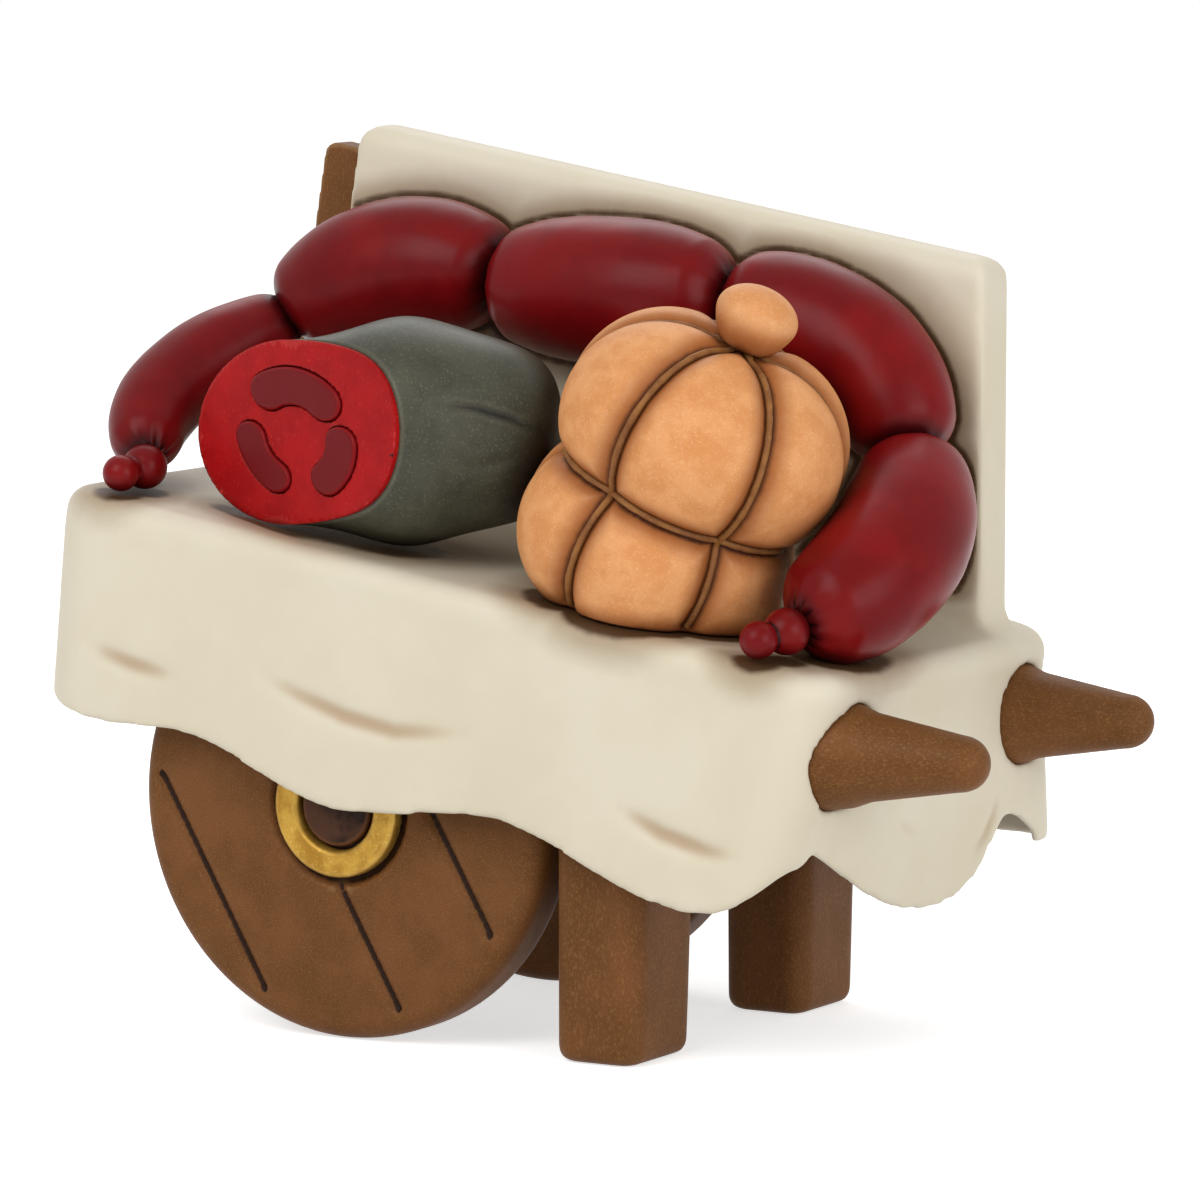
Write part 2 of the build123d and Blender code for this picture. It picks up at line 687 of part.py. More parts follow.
def make_cheese():
    """Soft cheese drawn into two tiers of lobes by its twine, with a knob on top."""
    lean = Pos(cheese_u, board_face + cheese_v, food_floor) * Rot(Y=cheese_lean) * Rot(Z=cheese_turn)
    lobes = [Pos(Z=cheese_crown_height) * Sphere(cheese_crown_radius)]
    for index in range(cheese_lobe_count):
        turn = Rot(Z=index * 360 / cheese_lobe_count)
        lobes.append(turn * Pos(cheese_ring_radius, 0, cheese_lower_height) * Sphere(cheese_lower_lobe))
        lobes.append(turn * Pos(cheese_ring_radius, 0, cheese_upper_height) * Sphere(cheese_upper_lobe))
    body = lobes[0] + lobes[1:] - make_twine(twine_clearance)
    crown = cheese_crown_height + cheese_crown_radius + twine_radius
    knob = Pos(Z=crown + food_gap) * make_knob()
    below = block(-far, far, -far, far, -far, food_floor)
    pieces = {"cheese_body": lean * body - below, "cheese_twine": lean * make_twine(0) - below}
    pieces["cheese_knob"] = lean * knob
    return {name: on_bed(piece) for name, piece in pieces.items()}


def make_knob():
    """Oval knob with a flat foot."""
    half = cheese_knob_length / 2
    tall = cheese_knob_height / 2
    knob = scale(Sphere(half), by=(1, 1, tall / half))
    return Pos(Z=tall - knob_flat) * split(knob, Plane.XY.offset(knob_flat - tall), Keep.TOP)


def make_all():
    """Every piece of the barrow under its own name."""
    pieces = {"axle": make_axle(), "cloth_cover": make_cloth()}
    pieces |= both_sides("wheel", make_wheel())
    pieces |= both_sides("hub_ring", make_hub_ring())
    pieces |= both_sides("axle_cap", make_axle_cap())
    pieces |= both_sides("washer", make_washer())
    pieces |= both_sides("axle_bracket", make_bracket())
    pieces |= both_sides("leg", make_leg())
    pieces |= both_sides("handle", make_handle())
    for group in (make_deck, make_bearers, make_backboard, make_sausages, make_salami, make_cheese):
        pieces |= group()
    return pieces


os.makedirs("parts", exist_ok=True)
for piece_name, piece in make_all().items():
    export_step(piece, f"parts/{piece_name}.step")
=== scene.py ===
import json
import math
from contextlib import contextmanager

import bmesh
import bpy
import numpy as np
from bpy.props import FloatProperty, FloatVectorProperty, IntProperty, PointerProperty
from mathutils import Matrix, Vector
from mathutils.bvhtree import BVHTree
from mathutils.geometry import convex_hull_2d
from mathutils.kdtree import KDTree

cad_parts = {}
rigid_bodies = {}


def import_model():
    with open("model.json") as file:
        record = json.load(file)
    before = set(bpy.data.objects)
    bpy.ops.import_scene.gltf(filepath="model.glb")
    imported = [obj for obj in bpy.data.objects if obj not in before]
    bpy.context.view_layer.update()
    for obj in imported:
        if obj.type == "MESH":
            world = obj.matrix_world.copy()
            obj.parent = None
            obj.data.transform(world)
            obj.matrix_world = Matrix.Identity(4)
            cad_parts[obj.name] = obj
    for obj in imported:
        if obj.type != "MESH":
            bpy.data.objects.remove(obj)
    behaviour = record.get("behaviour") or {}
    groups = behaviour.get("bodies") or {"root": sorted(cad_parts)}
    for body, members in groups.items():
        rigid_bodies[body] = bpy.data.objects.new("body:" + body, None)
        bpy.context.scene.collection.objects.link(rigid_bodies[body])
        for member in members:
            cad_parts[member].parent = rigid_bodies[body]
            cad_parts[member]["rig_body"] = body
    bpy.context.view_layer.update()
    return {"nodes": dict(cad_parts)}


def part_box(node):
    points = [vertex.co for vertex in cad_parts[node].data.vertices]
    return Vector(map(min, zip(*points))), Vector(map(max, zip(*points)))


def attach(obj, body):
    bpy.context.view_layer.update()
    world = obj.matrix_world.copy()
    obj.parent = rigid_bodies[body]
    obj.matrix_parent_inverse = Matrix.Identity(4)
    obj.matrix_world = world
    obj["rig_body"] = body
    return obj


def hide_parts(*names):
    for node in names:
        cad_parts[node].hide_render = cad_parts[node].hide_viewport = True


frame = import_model()

bl_info = {
    "name": "Market barrow miniature",
    "version": (1, 0, 0),
    "blender": (4, 5, 0),
    "location": "View3D > Sidebar > Barrow",
    "description": "Dresses a glazed clay market barrow with its cloth, sausages, salami and cheese",
    "category": "Object",
}

MM = 0.001
SIDES = ("front", "back")

# The bed slopes down to the handles: u runs along it, v across it and w square to it. Its origin lies over
# the wheel's top, set back along u from the hub. The sizes below are in millimetres.
BED_TILT = math.radians(9.5)
BED_U = np.array((math.cos(BED_TILT), 0.0, -math.sin(BED_TILT)))
BED_V = np.array((0.0, 1.0, 0.0))
BED_W = np.array((math.sin(BED_TILT), 0.0, math.cos(BED_TILT)))
BED_AXES = np.array((BED_U, BED_V, BED_W))
WHEEL_LOW, WHEEL_HIGH = (np.array(corner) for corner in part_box("front_wheel"))
WHEEL_RADIUS = (WHEEL_HIGH[2] - WHEEL_LOW[2]) / 2
HUB = np.array(((WHEEL_LOW[0] + WHEEL_HIGH[0]) / 2, 0.0, WHEEL_RADIUS))
BED_RISE, BED_SETBACK = 0.3, 1.6
BED_ORIGIN = HUB + BED_W * (WHEEL_RADIUS + BED_RISE * MM) - BED_U * BED_SETBACK * MM
BOARD_FACE = 15.9
CLOTH_TOP = 1.5

# Where the photo is taken from, in metres: the way to the eye, the picture's right and up, and the eye's
# place.
EYE_TURN, EYE_RISE = math.radians(30.0), math.radians(6.5)
EYE_WAY = np.array((math.sin(EYE_TURN) * math.cos(EYE_RISE), -math.cos(EYE_TURN) * math.cos(EYE_RISE),
                    math.sin(EYE_RISE)))
EYE_RIGHT = np.array((math.cos(EYE_TURN), math.sin(EYE_TURN), 0.0))
EYE_UP = np.cross(EYE_WAY, EYE_RIGHT)
EYE_FAR, EYE_LIFT, EYE_LEFT = 0.8, 0.048, 0.7 * MM
EYE = EYE_WAY * EYE_FAR + EYE_UP * EYE_LIFT - EYE_RIGHT * EYE_LEFT
LENS, SENSOR = 210.0, 36.0
CLIP_START, CLIP_END = 0.01, 100.0

# Studio, in metres and watts: what the lamps look at, how wide they are, and how far each stands towards
# the eye, to the picture's right and up. The world's light, the paper's grey and its glow for the eye are
# shares of white. The floor lies a hair under the feet.
LAMP_AIM = (0.0, 0.0, 0.05)
LAMP_WIDTH = 0.5
LAMPS = (
    ("key_light", 0.55, -0.4, 0.5, 2.9),
    ("fill_light", 0.6, 0.55, 0.2, 2.2),
    ("rim_light", -0.6, 0.0, 0.6, 1.4),
)
WHITE = (1.0, 1.0, 1.0, 1.0)
PAPER = (0.9, 0.9, 0.9, 1.0)
PAPER_GLOW = 0.62
WORLD_LIGHT = 0.5
FLOOR_RADIUS, FLOOR_DROP, FLOOR_SEGMENTS = 3.0, 0.02 * MM, 96

# Skins, in millimetres: the spacing on rings, caps and knots, on stakes and the top plank, on the casing
# and the knob, on the cut face and on the inlays, and what counts as one vertex when a solid's triangles
# are joined.
TRIM_SKIN, BOARD_SKIN, SMOOTH_SKIN, MEAT_SKIN, INLAY_SKIN = 0.22, 0.36, 0.3, 0.26, 0.2
WELD = 0.001
SOFTEN = 0.5
# For each kind of piece, its rounds of softening, and the rounds that its bends are evened out with.
WHEEL_ROUNDS, TRIM_ROUNDS, LIMB_ROUNDS, BOARD_ROUNDS = (4, 2), (2, 2), (7, 3), (2, 3)
CLOTH_ROUNDS, KNOT_ROUNDS, CASING_ROUNDS, MEAT_ROUNDS = (18, 2), (3, 3), (4, 2), (2, 2)
INLAY_ROUNDS, CHEESE_ROUNDS, KNOB_ROUNDS = (3, 2), (9, 2), (4, 3)
LINK_EVENING, TWINE_EVENING = 3, 1
# Least length and least edge, in metres, that are divided by.
TINY, SHORT_EDGE = 1e-9, 1e-7

# Paint: size of the patches that make its edges ragged, in millimetres, where tones, flecks and strokes
# start and are full, and the most that strokes and the wash with its painted shade cover.
PATCH_MM = 2.2
TONE_AT, FLECK_EDGE, STROKE_AT = (0.36, 0.64), 0.12, (0.1, 1.05)
STROKE_SHARE, WASH_AND_SHADE_SHARE = 0.85, 0.95
# How much of the patches the edges of strokes and of the wash and painted shade in hollows take, the usual
# size of a fleck, and where the wash and painted shade settle on pieces that little touches.
STROKE_RAG, HOLLOW_RAG = 0.8, 0.5
FLECK_MM = 0.35
PLAIN_TOUCH = (0.62, 0.98)
GLAZE_IOR, BUMP_STRENGTH = 1.5, 0.6

# Sausage string: ties and middles as u, v from the board's face and w from the cloth, in millimetres.
SAUSAGE_TIES = (
    (-34.2, -32.2, 4.0),
    (-31.5, -10.5, 19.2),
    (-5.6, -8.8, 28.0),
    (24.2, -8.8, 32.2),
    (50.3, -11.2, 19.2),
    (53.0, -36.6, 4.5),
)
SAUSAGE_MIDDLES = (
    (-38.2, -25.0, 10.3),
    (-20.4, -8.6, 27.0),
    (9.6, -8.9, 30.2),
    (40.0, -8.0, 29.2),
    (55.9, -23.0, 11.1),
)
SAUSAGE_RADII = (5.3, 8.2, 8.5, 7.7, 7.9)

# Form of a link: shares of its half length in which a round and a pressed end close, the powers by which it
# thins and its pleats grow towards its ends, how much, in millimetres, and over what length it is uneven,
# the rings and segments of its skin, and what counts as one vertex at its tips.
ROUND_DOME, PRESSED_DOME = 0.24, 0.26
SWELL_POWER, PLEAT_POWER = 2.4, 9.0
LINK_UNEVENNESS, LINK_UNEVEN_RUN = 0.3, 7.0
LINK_RINGS, LINK_SEGMENTS = 110, 64
TIP_WELD = 0.01

# Salami: middle of the cut face, the way the face looks and the level line along it, as on the solid.
SALAMI_FACE = (-14.6, BOARD_FACE - 37.8, 12.4)
SALAMI_FACE_TURN = math.radians(71.0)
SALAMI_FACE_WAY = (-math.cos(SALAMI_FACE_TURN), -math.sin(SALAMI_FACE_TURN), 0.0)
SALAMI_FACE_LEVEL = (math.sin(SALAMI_FACE_TURN), -math.cos(SALAMI_FACE_TURN), 0.0)

# Tail of the salami, drawn out behind the cheese: where it starts along u, over what length and how far.
SALAMI_TAIL_START, SALAMI_TAIL_RUN = 4.0, 8.0
SALAMI_TAIL_SHIFT = (1.4, 1.8, 0.0)

# Cut meat: how far the casing stays behind the face, the depths between which the meat starts to spread,
# the shares of the rim's radius between which it does, how much it spreads, how far it is lifted, and how
# near the face the rim's points lie.
CASING_BACK = 0.4
MEAT_FRONT = (-1.0, -0.3)
MEAT_EDGE = (0.83, 0.9)
MEAT_SPREAD, MEAT_LIFT = 0.18, 0.15
RIM_DEPTH = 0.02

# Halo on the board, a painted line and painted shade round the sausages as seen from the eye: gaps from the
# sausages' outline in millimetres, below 0 behind them, and the nearness that they are painted as. Behind,
# gaps start one step of the skin late. The halo fades towards the table and where the board turns away from
# the front, between two facings, and it is evened out in a few rounds.
HALO_GAPS = (-1.6, -0.7, 0.0, 0.45, 1.0, 2.2, 4.2)
HALO_NEARNESS = (0.3, 0.6, 0.93, 0.88, 0.79, 0.64, 0.4)
HALO_STEP = 0.3
HALO_FOOT = 3.5
HALO_FACING = (0.4, 0.8)
HALO_ROUNDS = 2

# How far the wash and the painted shade with it spread from where pieces meet, in millimetres, where it
# isn't the usual reach, and the pieces that only some others leave it on. On a wheel it comes from the hub
# ring.
WASH_AND_SHADE_REACHES = {"cloth": 11.0, "cheese": 4.0, "salami_cut_face_clay": 1.6, "salami_inlays_clay": 1.6}
WASH_AND_SHADE_PARTNERS = {
    "salami_cut_face_clay": ["salami_inlays_clay"],
    "salami_inlays_clay": ["salami_cut_face_clay"],
}
RING_REACH = 2.6

# Handles: middle of the back one's root as u, v and w, where along it the flare ends and is full, and the
# radius of the core that it leaves alone.
HANDLE_ROOT = (57.7, 20.3, -8.0)
FLARE_RUN = (6.5, 3.5)
FLARE_CORE = 3.0

# Stakes: where the left one ends, along u, and its top. Top plank: how far below that top its tuck starts,
# how high it goes on, how far the plank reaches past the stake under it, and how steeply it is tucked in.
LEFT_STAKE_END = -32.7
STAKE_TOP = 39.5
TUCK_BELOW, TUCK_RUN, TUCK_REACH, TUCK_SLOPE = 1.0, 2.0, 1.5, 2.0

# Cloth: below which w and from which facing its skirts take strokes, and the share of faces that is left
# where it is thinned. Fine stay the table (lowest w, least facing up), the board (least facing ahead), the
# hem (highest w, least facing down), the holes of the handles (along u, radius) and what is marked.
SKIRT_TOP, SKIRT_FACING = -3.0, 0.3
CLOTH_SHARE = 0.44
FINE_TABLE = (-2.0, 0.1)
FINE_BOARD = 0.5
FINE_HEM = (-10.0, 0.3)
FINE_HOLE = (4.0, 8.5)
FINE_MARK = 0.01

# Cheese: foot on the cloth, lean and lobes, as on the solid. Tiers and crown are radius and height in
# millimetres. The knob's underside is drawn down with a power of how low it is.
CHEESE_FOOT = (28.0, BOARD_FACE - 30.3, CLOTH_TOP + 0.2)
CHEESE_LEAN = math.radians(17.0)
CHEESE_TURN = math.radians(-6.5)
CHEESE_WAIST = 14.3
CHEESE_LOBES = 6
CHEESE_RING = 5.7
CHEESE_TIERS = ((10.5, 7.6), (11.2, 21.4))
CHEESE_CROWN = (10.0, 22.8)
BALL_SUBDIVISIONS = 4
KNOB_SEAT_POWER = 4

# Twine: how deep it lies and how far over the cloth it ends, in millimetres, the arc of a loop over the top
# and the step along it, in degrees, and the cord's rings, its sides and the length over which it is uneven.
TWINE_SINK, TWINE_CLEAR = 0.55, 0.05
TWINE_ARC, TWINE_STEP = (-66.0, 247.0), 1.5
CORD_STEP, CORD_SIDES, CORD_UNEVEN_RUN = 0.4, 12, 1.6

# Pressed strokes, coloured brown with painted shade: points, half width and depth in millimetres. Strokes
# less deep than FULL_STROKE are paler, and all fade towards their ends. On the front and back skirts and the
# casing the points are u and w, on the end skirts v and w. The casing takes them where it faces the front by
# CREASE_FACING or more.
FULL_STROKE = 0.5
STROKE_ENDS, STROKE_FADE = (0.04, 0.96), 0.6
CREASE_FACING = 0.1
FRONT_STROKES = (
    (((-31.4, -15.4), (-25.8, -16.1), (-19.7, -16.2)), 1.1, 0.45),
    (((-8.2, -13.4), (-3.2, -14.5), (3.1, -15.5), (9.7, -15.7), (18.2, -14.0)), 1.1, 0.5),
    (((39.4, -17.2), (44.9, -18.8), (50.2, -19.4), (54.1, -19.3)), 1.1, 0.5),
)
BACK_STROKES = (
    (((-28.0, -15.0), (-20.0, -16.4), (-11.0, -15.6)), 1.1, 0.45),
    (((4.0, -13.0), (14.0, -15.2), (26.0, -14.4)), 1.1, 0.45),
    (((38.0, -12.4), (45.0, -14.0), (52.0, -13.6)), 1.1, 0.4),
)
RIGHT_STROKES = (
    (((14.2, -15.4), (13.2, -18.0), (11.4, -20.2), (8.6, -22.0)), 1.0, 0.35),
    (((-7.4, -16.4), (-2.8, -18.6)), 0.9, 0.2),
)
LEFT_STROKES = (
    (((-18.0, -14.6), (-9.0, -16.8), (0.0, -15.4)), 1.1, 0.45),
    (((9.0, -16.6), (16.0, -14.8)), 1.0, 0.35),
)
CASING_STROKES = (
    (((6.0, 20.4), (8.6, 20.3), (11.4, 19.5), (13.8, 18.2)), 0.45, 0.4),
    (((8.6, 13.6), (10.8, 14.4), (12.8, 15.6)), 0.6, 0.16),
)


def linear(text):
    """Linear colour of an sRGB hex value."""
    parts = [int(text[i:i + 2], 16) / 255 for i in (0, 2, 4)]
    return tuple(c / 12.92 if c <= 0.04045 else ((c + 0.055) / 1.055) ** 2.4 for c in parts)


def node(tree, kind, settings=None, inputs=None):
    """Adds a node, sets its properties, and fills its inputs with values or with other nodes' sockets."""
    made = tree.nodes.new(kind)
    for name, value in (settings or {}).items():
        setattr(made, name, value)
    for name, value in (inputs or {}).items():
        if isinstance(value, bpy.types.NodeSocket):
            tree.links.new(value, made.inputs[name])
        else:
            made.inputs[name].default_value = value
    return made


def on_bed(place):
    """Point of the frame, in metres, from u, v and w in millimetres."""
    return BED_ORIGIN + np.array(place, float) @ BED_AXES * MM


def bed_places(points):
    """u, v and w in millimetres of points of the frame."""
    return (points - BED_ORIGIN) @ BED_AXES.T / MM


def ramp(values, start, end):
    """Share of the way from start to end, from 0 to 1."""
    return np.clip((values - start) / (end - start), 0, 1)


def soft_ramp(values, start, end):
    """Share of the way from start to end, from 0 to 1, that starts and ends softly."""
    share = ramp(values, start, end)
    return share**2 * (3 - 2 * share)


def vectors_of(mesh, kind):
    """Places or normals of a mesh's vertices, whichever is asked for, as an array."""
    flat = np.empty(len(mesh.vertices) * 3, np.float32)
    mesh.vertices.foreach_get(kind, flat)
    return flat.reshape(-1, 3).astype(float)


def points_of(mesh):
    """Vertex places of a mesh as an array."""
    return vectors_of(mesh, "co")


def normals_of(mesh):
    """Vertex normals of a mesh as an array."""
    return vectors_of(mesh, "normal")


def place_points(mesh, points):
    """Moves a mesh's vertices to these places."""
    mesh.vertices.foreach_set("co", points.astype(np.float32).ravel())
    mesh.update()


def write_values(mesh, name, values):
    """Stores one number for each vertex under a name that materials read."""
    layer = mesh.attributes.get(name) or mesh.attributes.new(name, "FLOAT", "POINT")
    layer.data.foreach_set("value", np.asarray(values, np.float32))


def read_values(mesh, name):
    """The numbers that are stored under a name, one for each vertex, or zeros."""
    values = np.zeros(len(mesh.vertices), np.float32)
    if name in mesh.attributes:
        mesh.attributes[name].data.foreach_get("value", values)
    return values.astype(float)


@contextmanager
def editing(mesh):
    """Opens a mesh to bmesh's tools, and puts back into it what they make."""
    shell = bmesh.new()
    shell.from_mesh(mesh)
    yield shell
    shell.to_mesh(mesh)
    shell.free()


def add_object(name, data):
    """Object at the origin that shows a mesh, a lamp or a camera."""
    made = bpy.data.objects.new(name, data)
    bpy.context.scene.collection.objects.link(made)
    return made


def bake(piece):
    """Turns what an object's modifiers make into its own plain mesh."""
    shown = piece.evaluated_get(bpy.context.evaluated_depsgraph_get())
    mesh = bpy.data.meshes.new_from_object(shown)
    piece.modifiers.clear()
    piece.data = mesh
    mesh.name = piece.name
    mesh.polygons.foreach_set("use_smooth", np.ones(len(mesh.polygons), bool))


def clay_skin(name, mesh, voxel, rounds):
    """Object with one skin round all of a mesh, its edges softened. The voxel is in millimetres."""
    piece = add_object(name, mesh)
    skin = piece.modifiers.new("Skin", "REMESH")
    skin.mode = "VOXEL"
    skin.voxel_size = voxel * MM
    soften = piece.modifiers.new("Soften", "SMOOTH")
    soften.factor = SOFTEN
    soften.iterations = rounds
    bake(piece)
    if not piece.data.vertices:
        raise RuntimeError(f"{name} came out empty")
    return piece


def clay_copy(name, source, voxel, rounds):
    """Copy of a solid as it looks in clay. The voxel is in millimetres."""
    mesh = frame["nodes"][source].data.copy()
    with editing(mesh) as shell:
        bmesh.ops.remove_doubles(shell, verts=shell.verts, dist=WELD * MM)
    return clay_skin(name, mesh, voxel, rounds)


def thin_skin(piece, painted, share):
    """Thins a mesh to a share of its faces, with the painted vertices left as close as they are."""
    free = piece.vertex_groups.new(name="free")
    free.add(np.flatnonzero(~painted).tolist(), 1.0, "REPLACE")
    thin = piece.modifiers.new("Thin", "DECIMATE")
    thin.ratio = share
    thin.vertex_group = free.name
    bake(piece)
    piece.vertex_groups.clear()


def edge_ends(mesh):
    """Both vertices of each edge of a mesh, and how many edges meet at each vertex."""
    ends = np.empty(len(mesh.edges) * 2, np.int32)
    mesh.edges.foreach_get("vertices", ends)
    first, second = ends.reshape(-1, 2).T
    return first, second, np.maximum(np.bincount(ends, minlength=len(mesh.vertices)), 1)


def spread(mesh, values, rounds):
    """Values at a mesh's vertices, evened out with their neighbours' this many times."""
    first, second, share = edge_ends(mesh)
    count = len(values)
    for _ in range(rounds):
        around = np.bincount(first, values[second], count) + np.bincount(second, values[first], count)
        values = (values + around / share) / 2
    return values


def mark_bends(piece, rounds):
    """Stores how sharply the skin turns, per millimetre: above 0 in hollows, below 0 on edges."""
    mesh = piece.data
    points, normals = points_of(mesh), normals_of(mesh)
    first, second, share = edge_ends(mesh)
    along = points[second] - points[first]
    length = np.maximum((along**2).sum(1), SHORT_EDGE**2)
    count = len(points)
    rise = np.bincount(first, (normals[first] * along).sum(1) / length, count)
    rise += np.bincount(second, -(normals[second] * along).sum(1) / length, count)
    write_values(mesh, "bend", spread(mesh, 2 * rise / share * MM, rounds))


def mark_nearness(piece, others, reach):
    """Stores how near a piece comes to others: 1 where they touch, 0 from reach millimetres on."""
    values = np.zeros(len(piece.data.vertices))
    for index, vertex in enumerate(piece.data.vertices):
        for other in others:
            found = other.find_nearest(vertex.co, reach * MM)
            if found[0] is not None:
                values[index] = max(values[index], 1 - found[3] / (reach * MM))
    write_values(piece.data, "nearness", values)


def search_tree(piece):
    """Search tree over a piece's faces."""
    mesh = piece.data
    return BVHTree.FromPolygons([v.co for v in mesh.vertices], [p.vertices for p in mesh.polygons])


def press_strokes(piece, places, chosen, strokes):
    """Presses strokes into the chosen vertices and stores their mark. Places and sizes are in millimetres."""
    mesh = piece.data
    points, normals = points_of(mesh), normals_of(mesh)
    mark = read_values(mesh, "stroke")
    dent = np.zeros(len(points))
    for line, half_width, depth in strokes:
        line = np.array(line, float)
        runs = np.linalg.norm(np.diff(line, axis=0), axis=1)
        total, done = runs.sum(), 0.0
        nearest = np.full(len(points), np.inf)
        way = np.zeros(len(points))
        for start, end, run in zip(line, line[1:], runs):
            share = np.clip((places - start) @ (end - start) / run**2, 0, 1)
            gap = np.linalg.norm(places - start - share[:, None] * (end - start), axis=1)
            closer = gap < nearest
            nearest[closer] = gap[closer]
            way[closer] = (done + share[closer] * run) / total
            done += run
        fade = np.sin(np.pi * np.clip(way, *STROKE_ENDS)) ** STROKE_FADE
        weight = np.exp(-((nearest / half_width) ** 2)) * fade * chosen
        mark = np.maximum(mark, weight * min(depth / FULL_STROKE, 1.0))
        dent = np.maximum(dent, weight * depth)
    place_points(mesh, points - normals * dent[:, None] * MM)
    write_values(mesh, "stroke", mark)


def paint_piece(piece, material):
    """Gives a piece its finish."""
    piece.data.materials.clear()
    piece.data.materials.append(material)


def dress(piece, material, source):
    """Gives a piece its finish and sets it on the body of the solid that it stands for."""
    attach(piece, frame["nodes"][source]["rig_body"])
    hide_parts(source)
    paint_piece(piece, material)


def clay_piece(name, source, voxel, rounds, material, shape=None):
    """Makes a solid's copy in clay, shapes it, marks its bends and dresses it."""
    softening, evening = rounds
    piece = clay_copy(name, source, voxel, softening)
    if shape:
        shape(piece)
    mark_bends(piece, evening)
    dress(piece, material, source)


def settings():
    """Sizes of the dressed barrow."""
    return bpy.context.scene.barrow_sizes


def colours():
    """Colours of the dressed barrow."""
    return bpy.context.scene.barrow_colours


def painted_clay(name, base, tone, fleck, worn, stroke, touch, hollow, roughness, haze_and_shade=None, rag=0.2,
                 grain=(0.5, 0.02), stretch=(1.0, 1.0, 1.0), metallic=0.0, shine=0.12):
    """Earthenware under a satin glaze: two tones, flecks, worn edges, and wash with painted shade in hollows
    and at contacts.

    tone is a colour and its size, fleck a colour, its size, start and share, and grain a size and depth, all
    sizes in millimetres. worn and haze are a colour, where it starts and is full, and its share; haze, touch
    and hollow are brown wash with painted shade, near other pieces and in hollows. touch and hollow have no
    share of their own. stroke is the colour of pressed lines, brown with painted shade, and rag is how ragged
    the edges of worn paint, strokes and wash are.
    """
    found = bpy.data.materials.get(name)
    if found:
        return found
    made = bpy.data.materials.new(name)
    made.use_nodes = True
    tree = made.node_tree
    tree.nodes.clear()
    place = node(tree, "ShaderNodeTexCoord").outputs["Object"]
    lay = node(tree, "ShaderNodeMapping", inputs={"Vector": place, "Scale": stretch}).outputs["Vector"]
    # Each noise has its place, its size in millimetres, its detail and its roughness.
    cloud, speck, patch, pits = (
        node(tree, "ShaderNodeTexNoise", inputs={
            "Vector": vector, "Scale": 1 / (width * MM), "Detail": detail, "Roughness": rough}).outputs["Fac"]
        for vector, width, detail, rough in (
            (lay, tone[1], 4.0, 0.6),
            (lay, fleck[1], 2.0, 0.7),
            (place, PATCH_MM, 3.0, 0.6),
            (lay, grain[0], 3.0, 0.5),
        ))
    bend, near, mark = (
        node(tree, "ShaderNodeAttribute", {"attribute_name": label}).outputs["Fac"]
        for label in ("bend", "nearness", "stroke"))
    ragged = node(tree, "ShaderNodeMath", {"operation": "MULTIPLY_ADD"}, {
        0: patch, 1: rag, 2: -rag / 2}).outputs[0]
    edge, drawn, close, deep = (
        node(tree, "ShaderNodeMath", {"operation": "MULTIPLY_ADD"}, dict(enumerate(terms))).outputs[0]
        for terms in (
            (bend, -1.0, ragged),
            (ragged, STROKE_RAG, mark),
            (ragged, 1.0, near),
            (ragged, HOLLOW_RAG, bend),
        ))
    # Coats over the base: tone patches, flecks, worn edges, and pressed strokes whose brown is partly painted
    # shade.
    coats = [
        (cloud, tone[0], *TONE_AT, 1.0),
        (speck, fleck[0], fleck[2], fleck[2] + FLECK_EDGE, fleck[3]),
        (edge, *worn),
        (drawn, stroke, *STROKE_AT, STROKE_SHARE),
    ]
    # The haze is painted shade with thin brown wash, fading from other pieces.
    if haze_and_shade:
        coats.append((close, *haze_and_shade))
    # Brown wash with painted shade where pieces meet and in hollows.
    coats += [(close, *touch, WASH_AND_SHADE_SHARE), (deep, *hollow, WASH_AND_SHADE_SHARE)]
    paint = (*base, 1.0)
    for where, tint, low, high, most in coats:
        amount = node(tree, "ShaderNodeMapRange", {"interpolation_type": "SMOOTHSTEP"}, {
            "Value": where, "From Min": low, "From Max": high, "To Min": 0.0, "To Max": most})
        paint = node(tree, "ShaderNodeMix", {"data_type": "RGBA"}, {
            0: amount.outputs["Result"], 6: paint, 7: (*tint, 1.0)}).outputs[2]
    gloss = node(tree, "ShaderNodeMapRange", inputs={
        "Value": patch, "To Min": roughness[0], "To Max": roughness[1]})
    bump = node(tree, "ShaderNodeBump", inputs={
        "Strength": BUMP_STRENGTH, "Distance": grain[1] * MM, "Height": pits})
    shader = node(tree, "ShaderNodeBsdfPrincipled", inputs={
        "Base Color": paint, "Roughness": gloss.outputs["Result"], "Normal": bump.outputs["Normal"],
        "Metallic": metallic, "IOR": GLAZE_IOR, "Specular IOR Level": shine})
    node(tree, "ShaderNodeOutputMaterial", inputs={"Surface": shader.outputs["BSDF"]})
    return made


def cloth_glaze():
    """Cream slip under a satin glaze: warm and even, with brown wash rubbed into folds and round the food,
    and painted shade there.
    """
    paint = colours()
    return painted_clay(
        "cream_glazed_earthenware", paint.cloth, tone=(paint.cloth_tone, 20.0),
        fleck=(paint.cloth_tone, FLECK_MM, 0.62, 0.3), worn=(paint.cloth, 0.4, 1.0, 0.3), stroke=paint.fold_and_shade,
        touch=(paint.wash, 0.8, 0.89), hollow=(paint.wash, 0.6, 1.6), haze_and_shade=(paint.haze_and_shade, 0.44, 0.86, 0.6),
        rag=0.05, roughness=(0.42, 0.5), grain=(0.9, 0.03), shine=0.2)


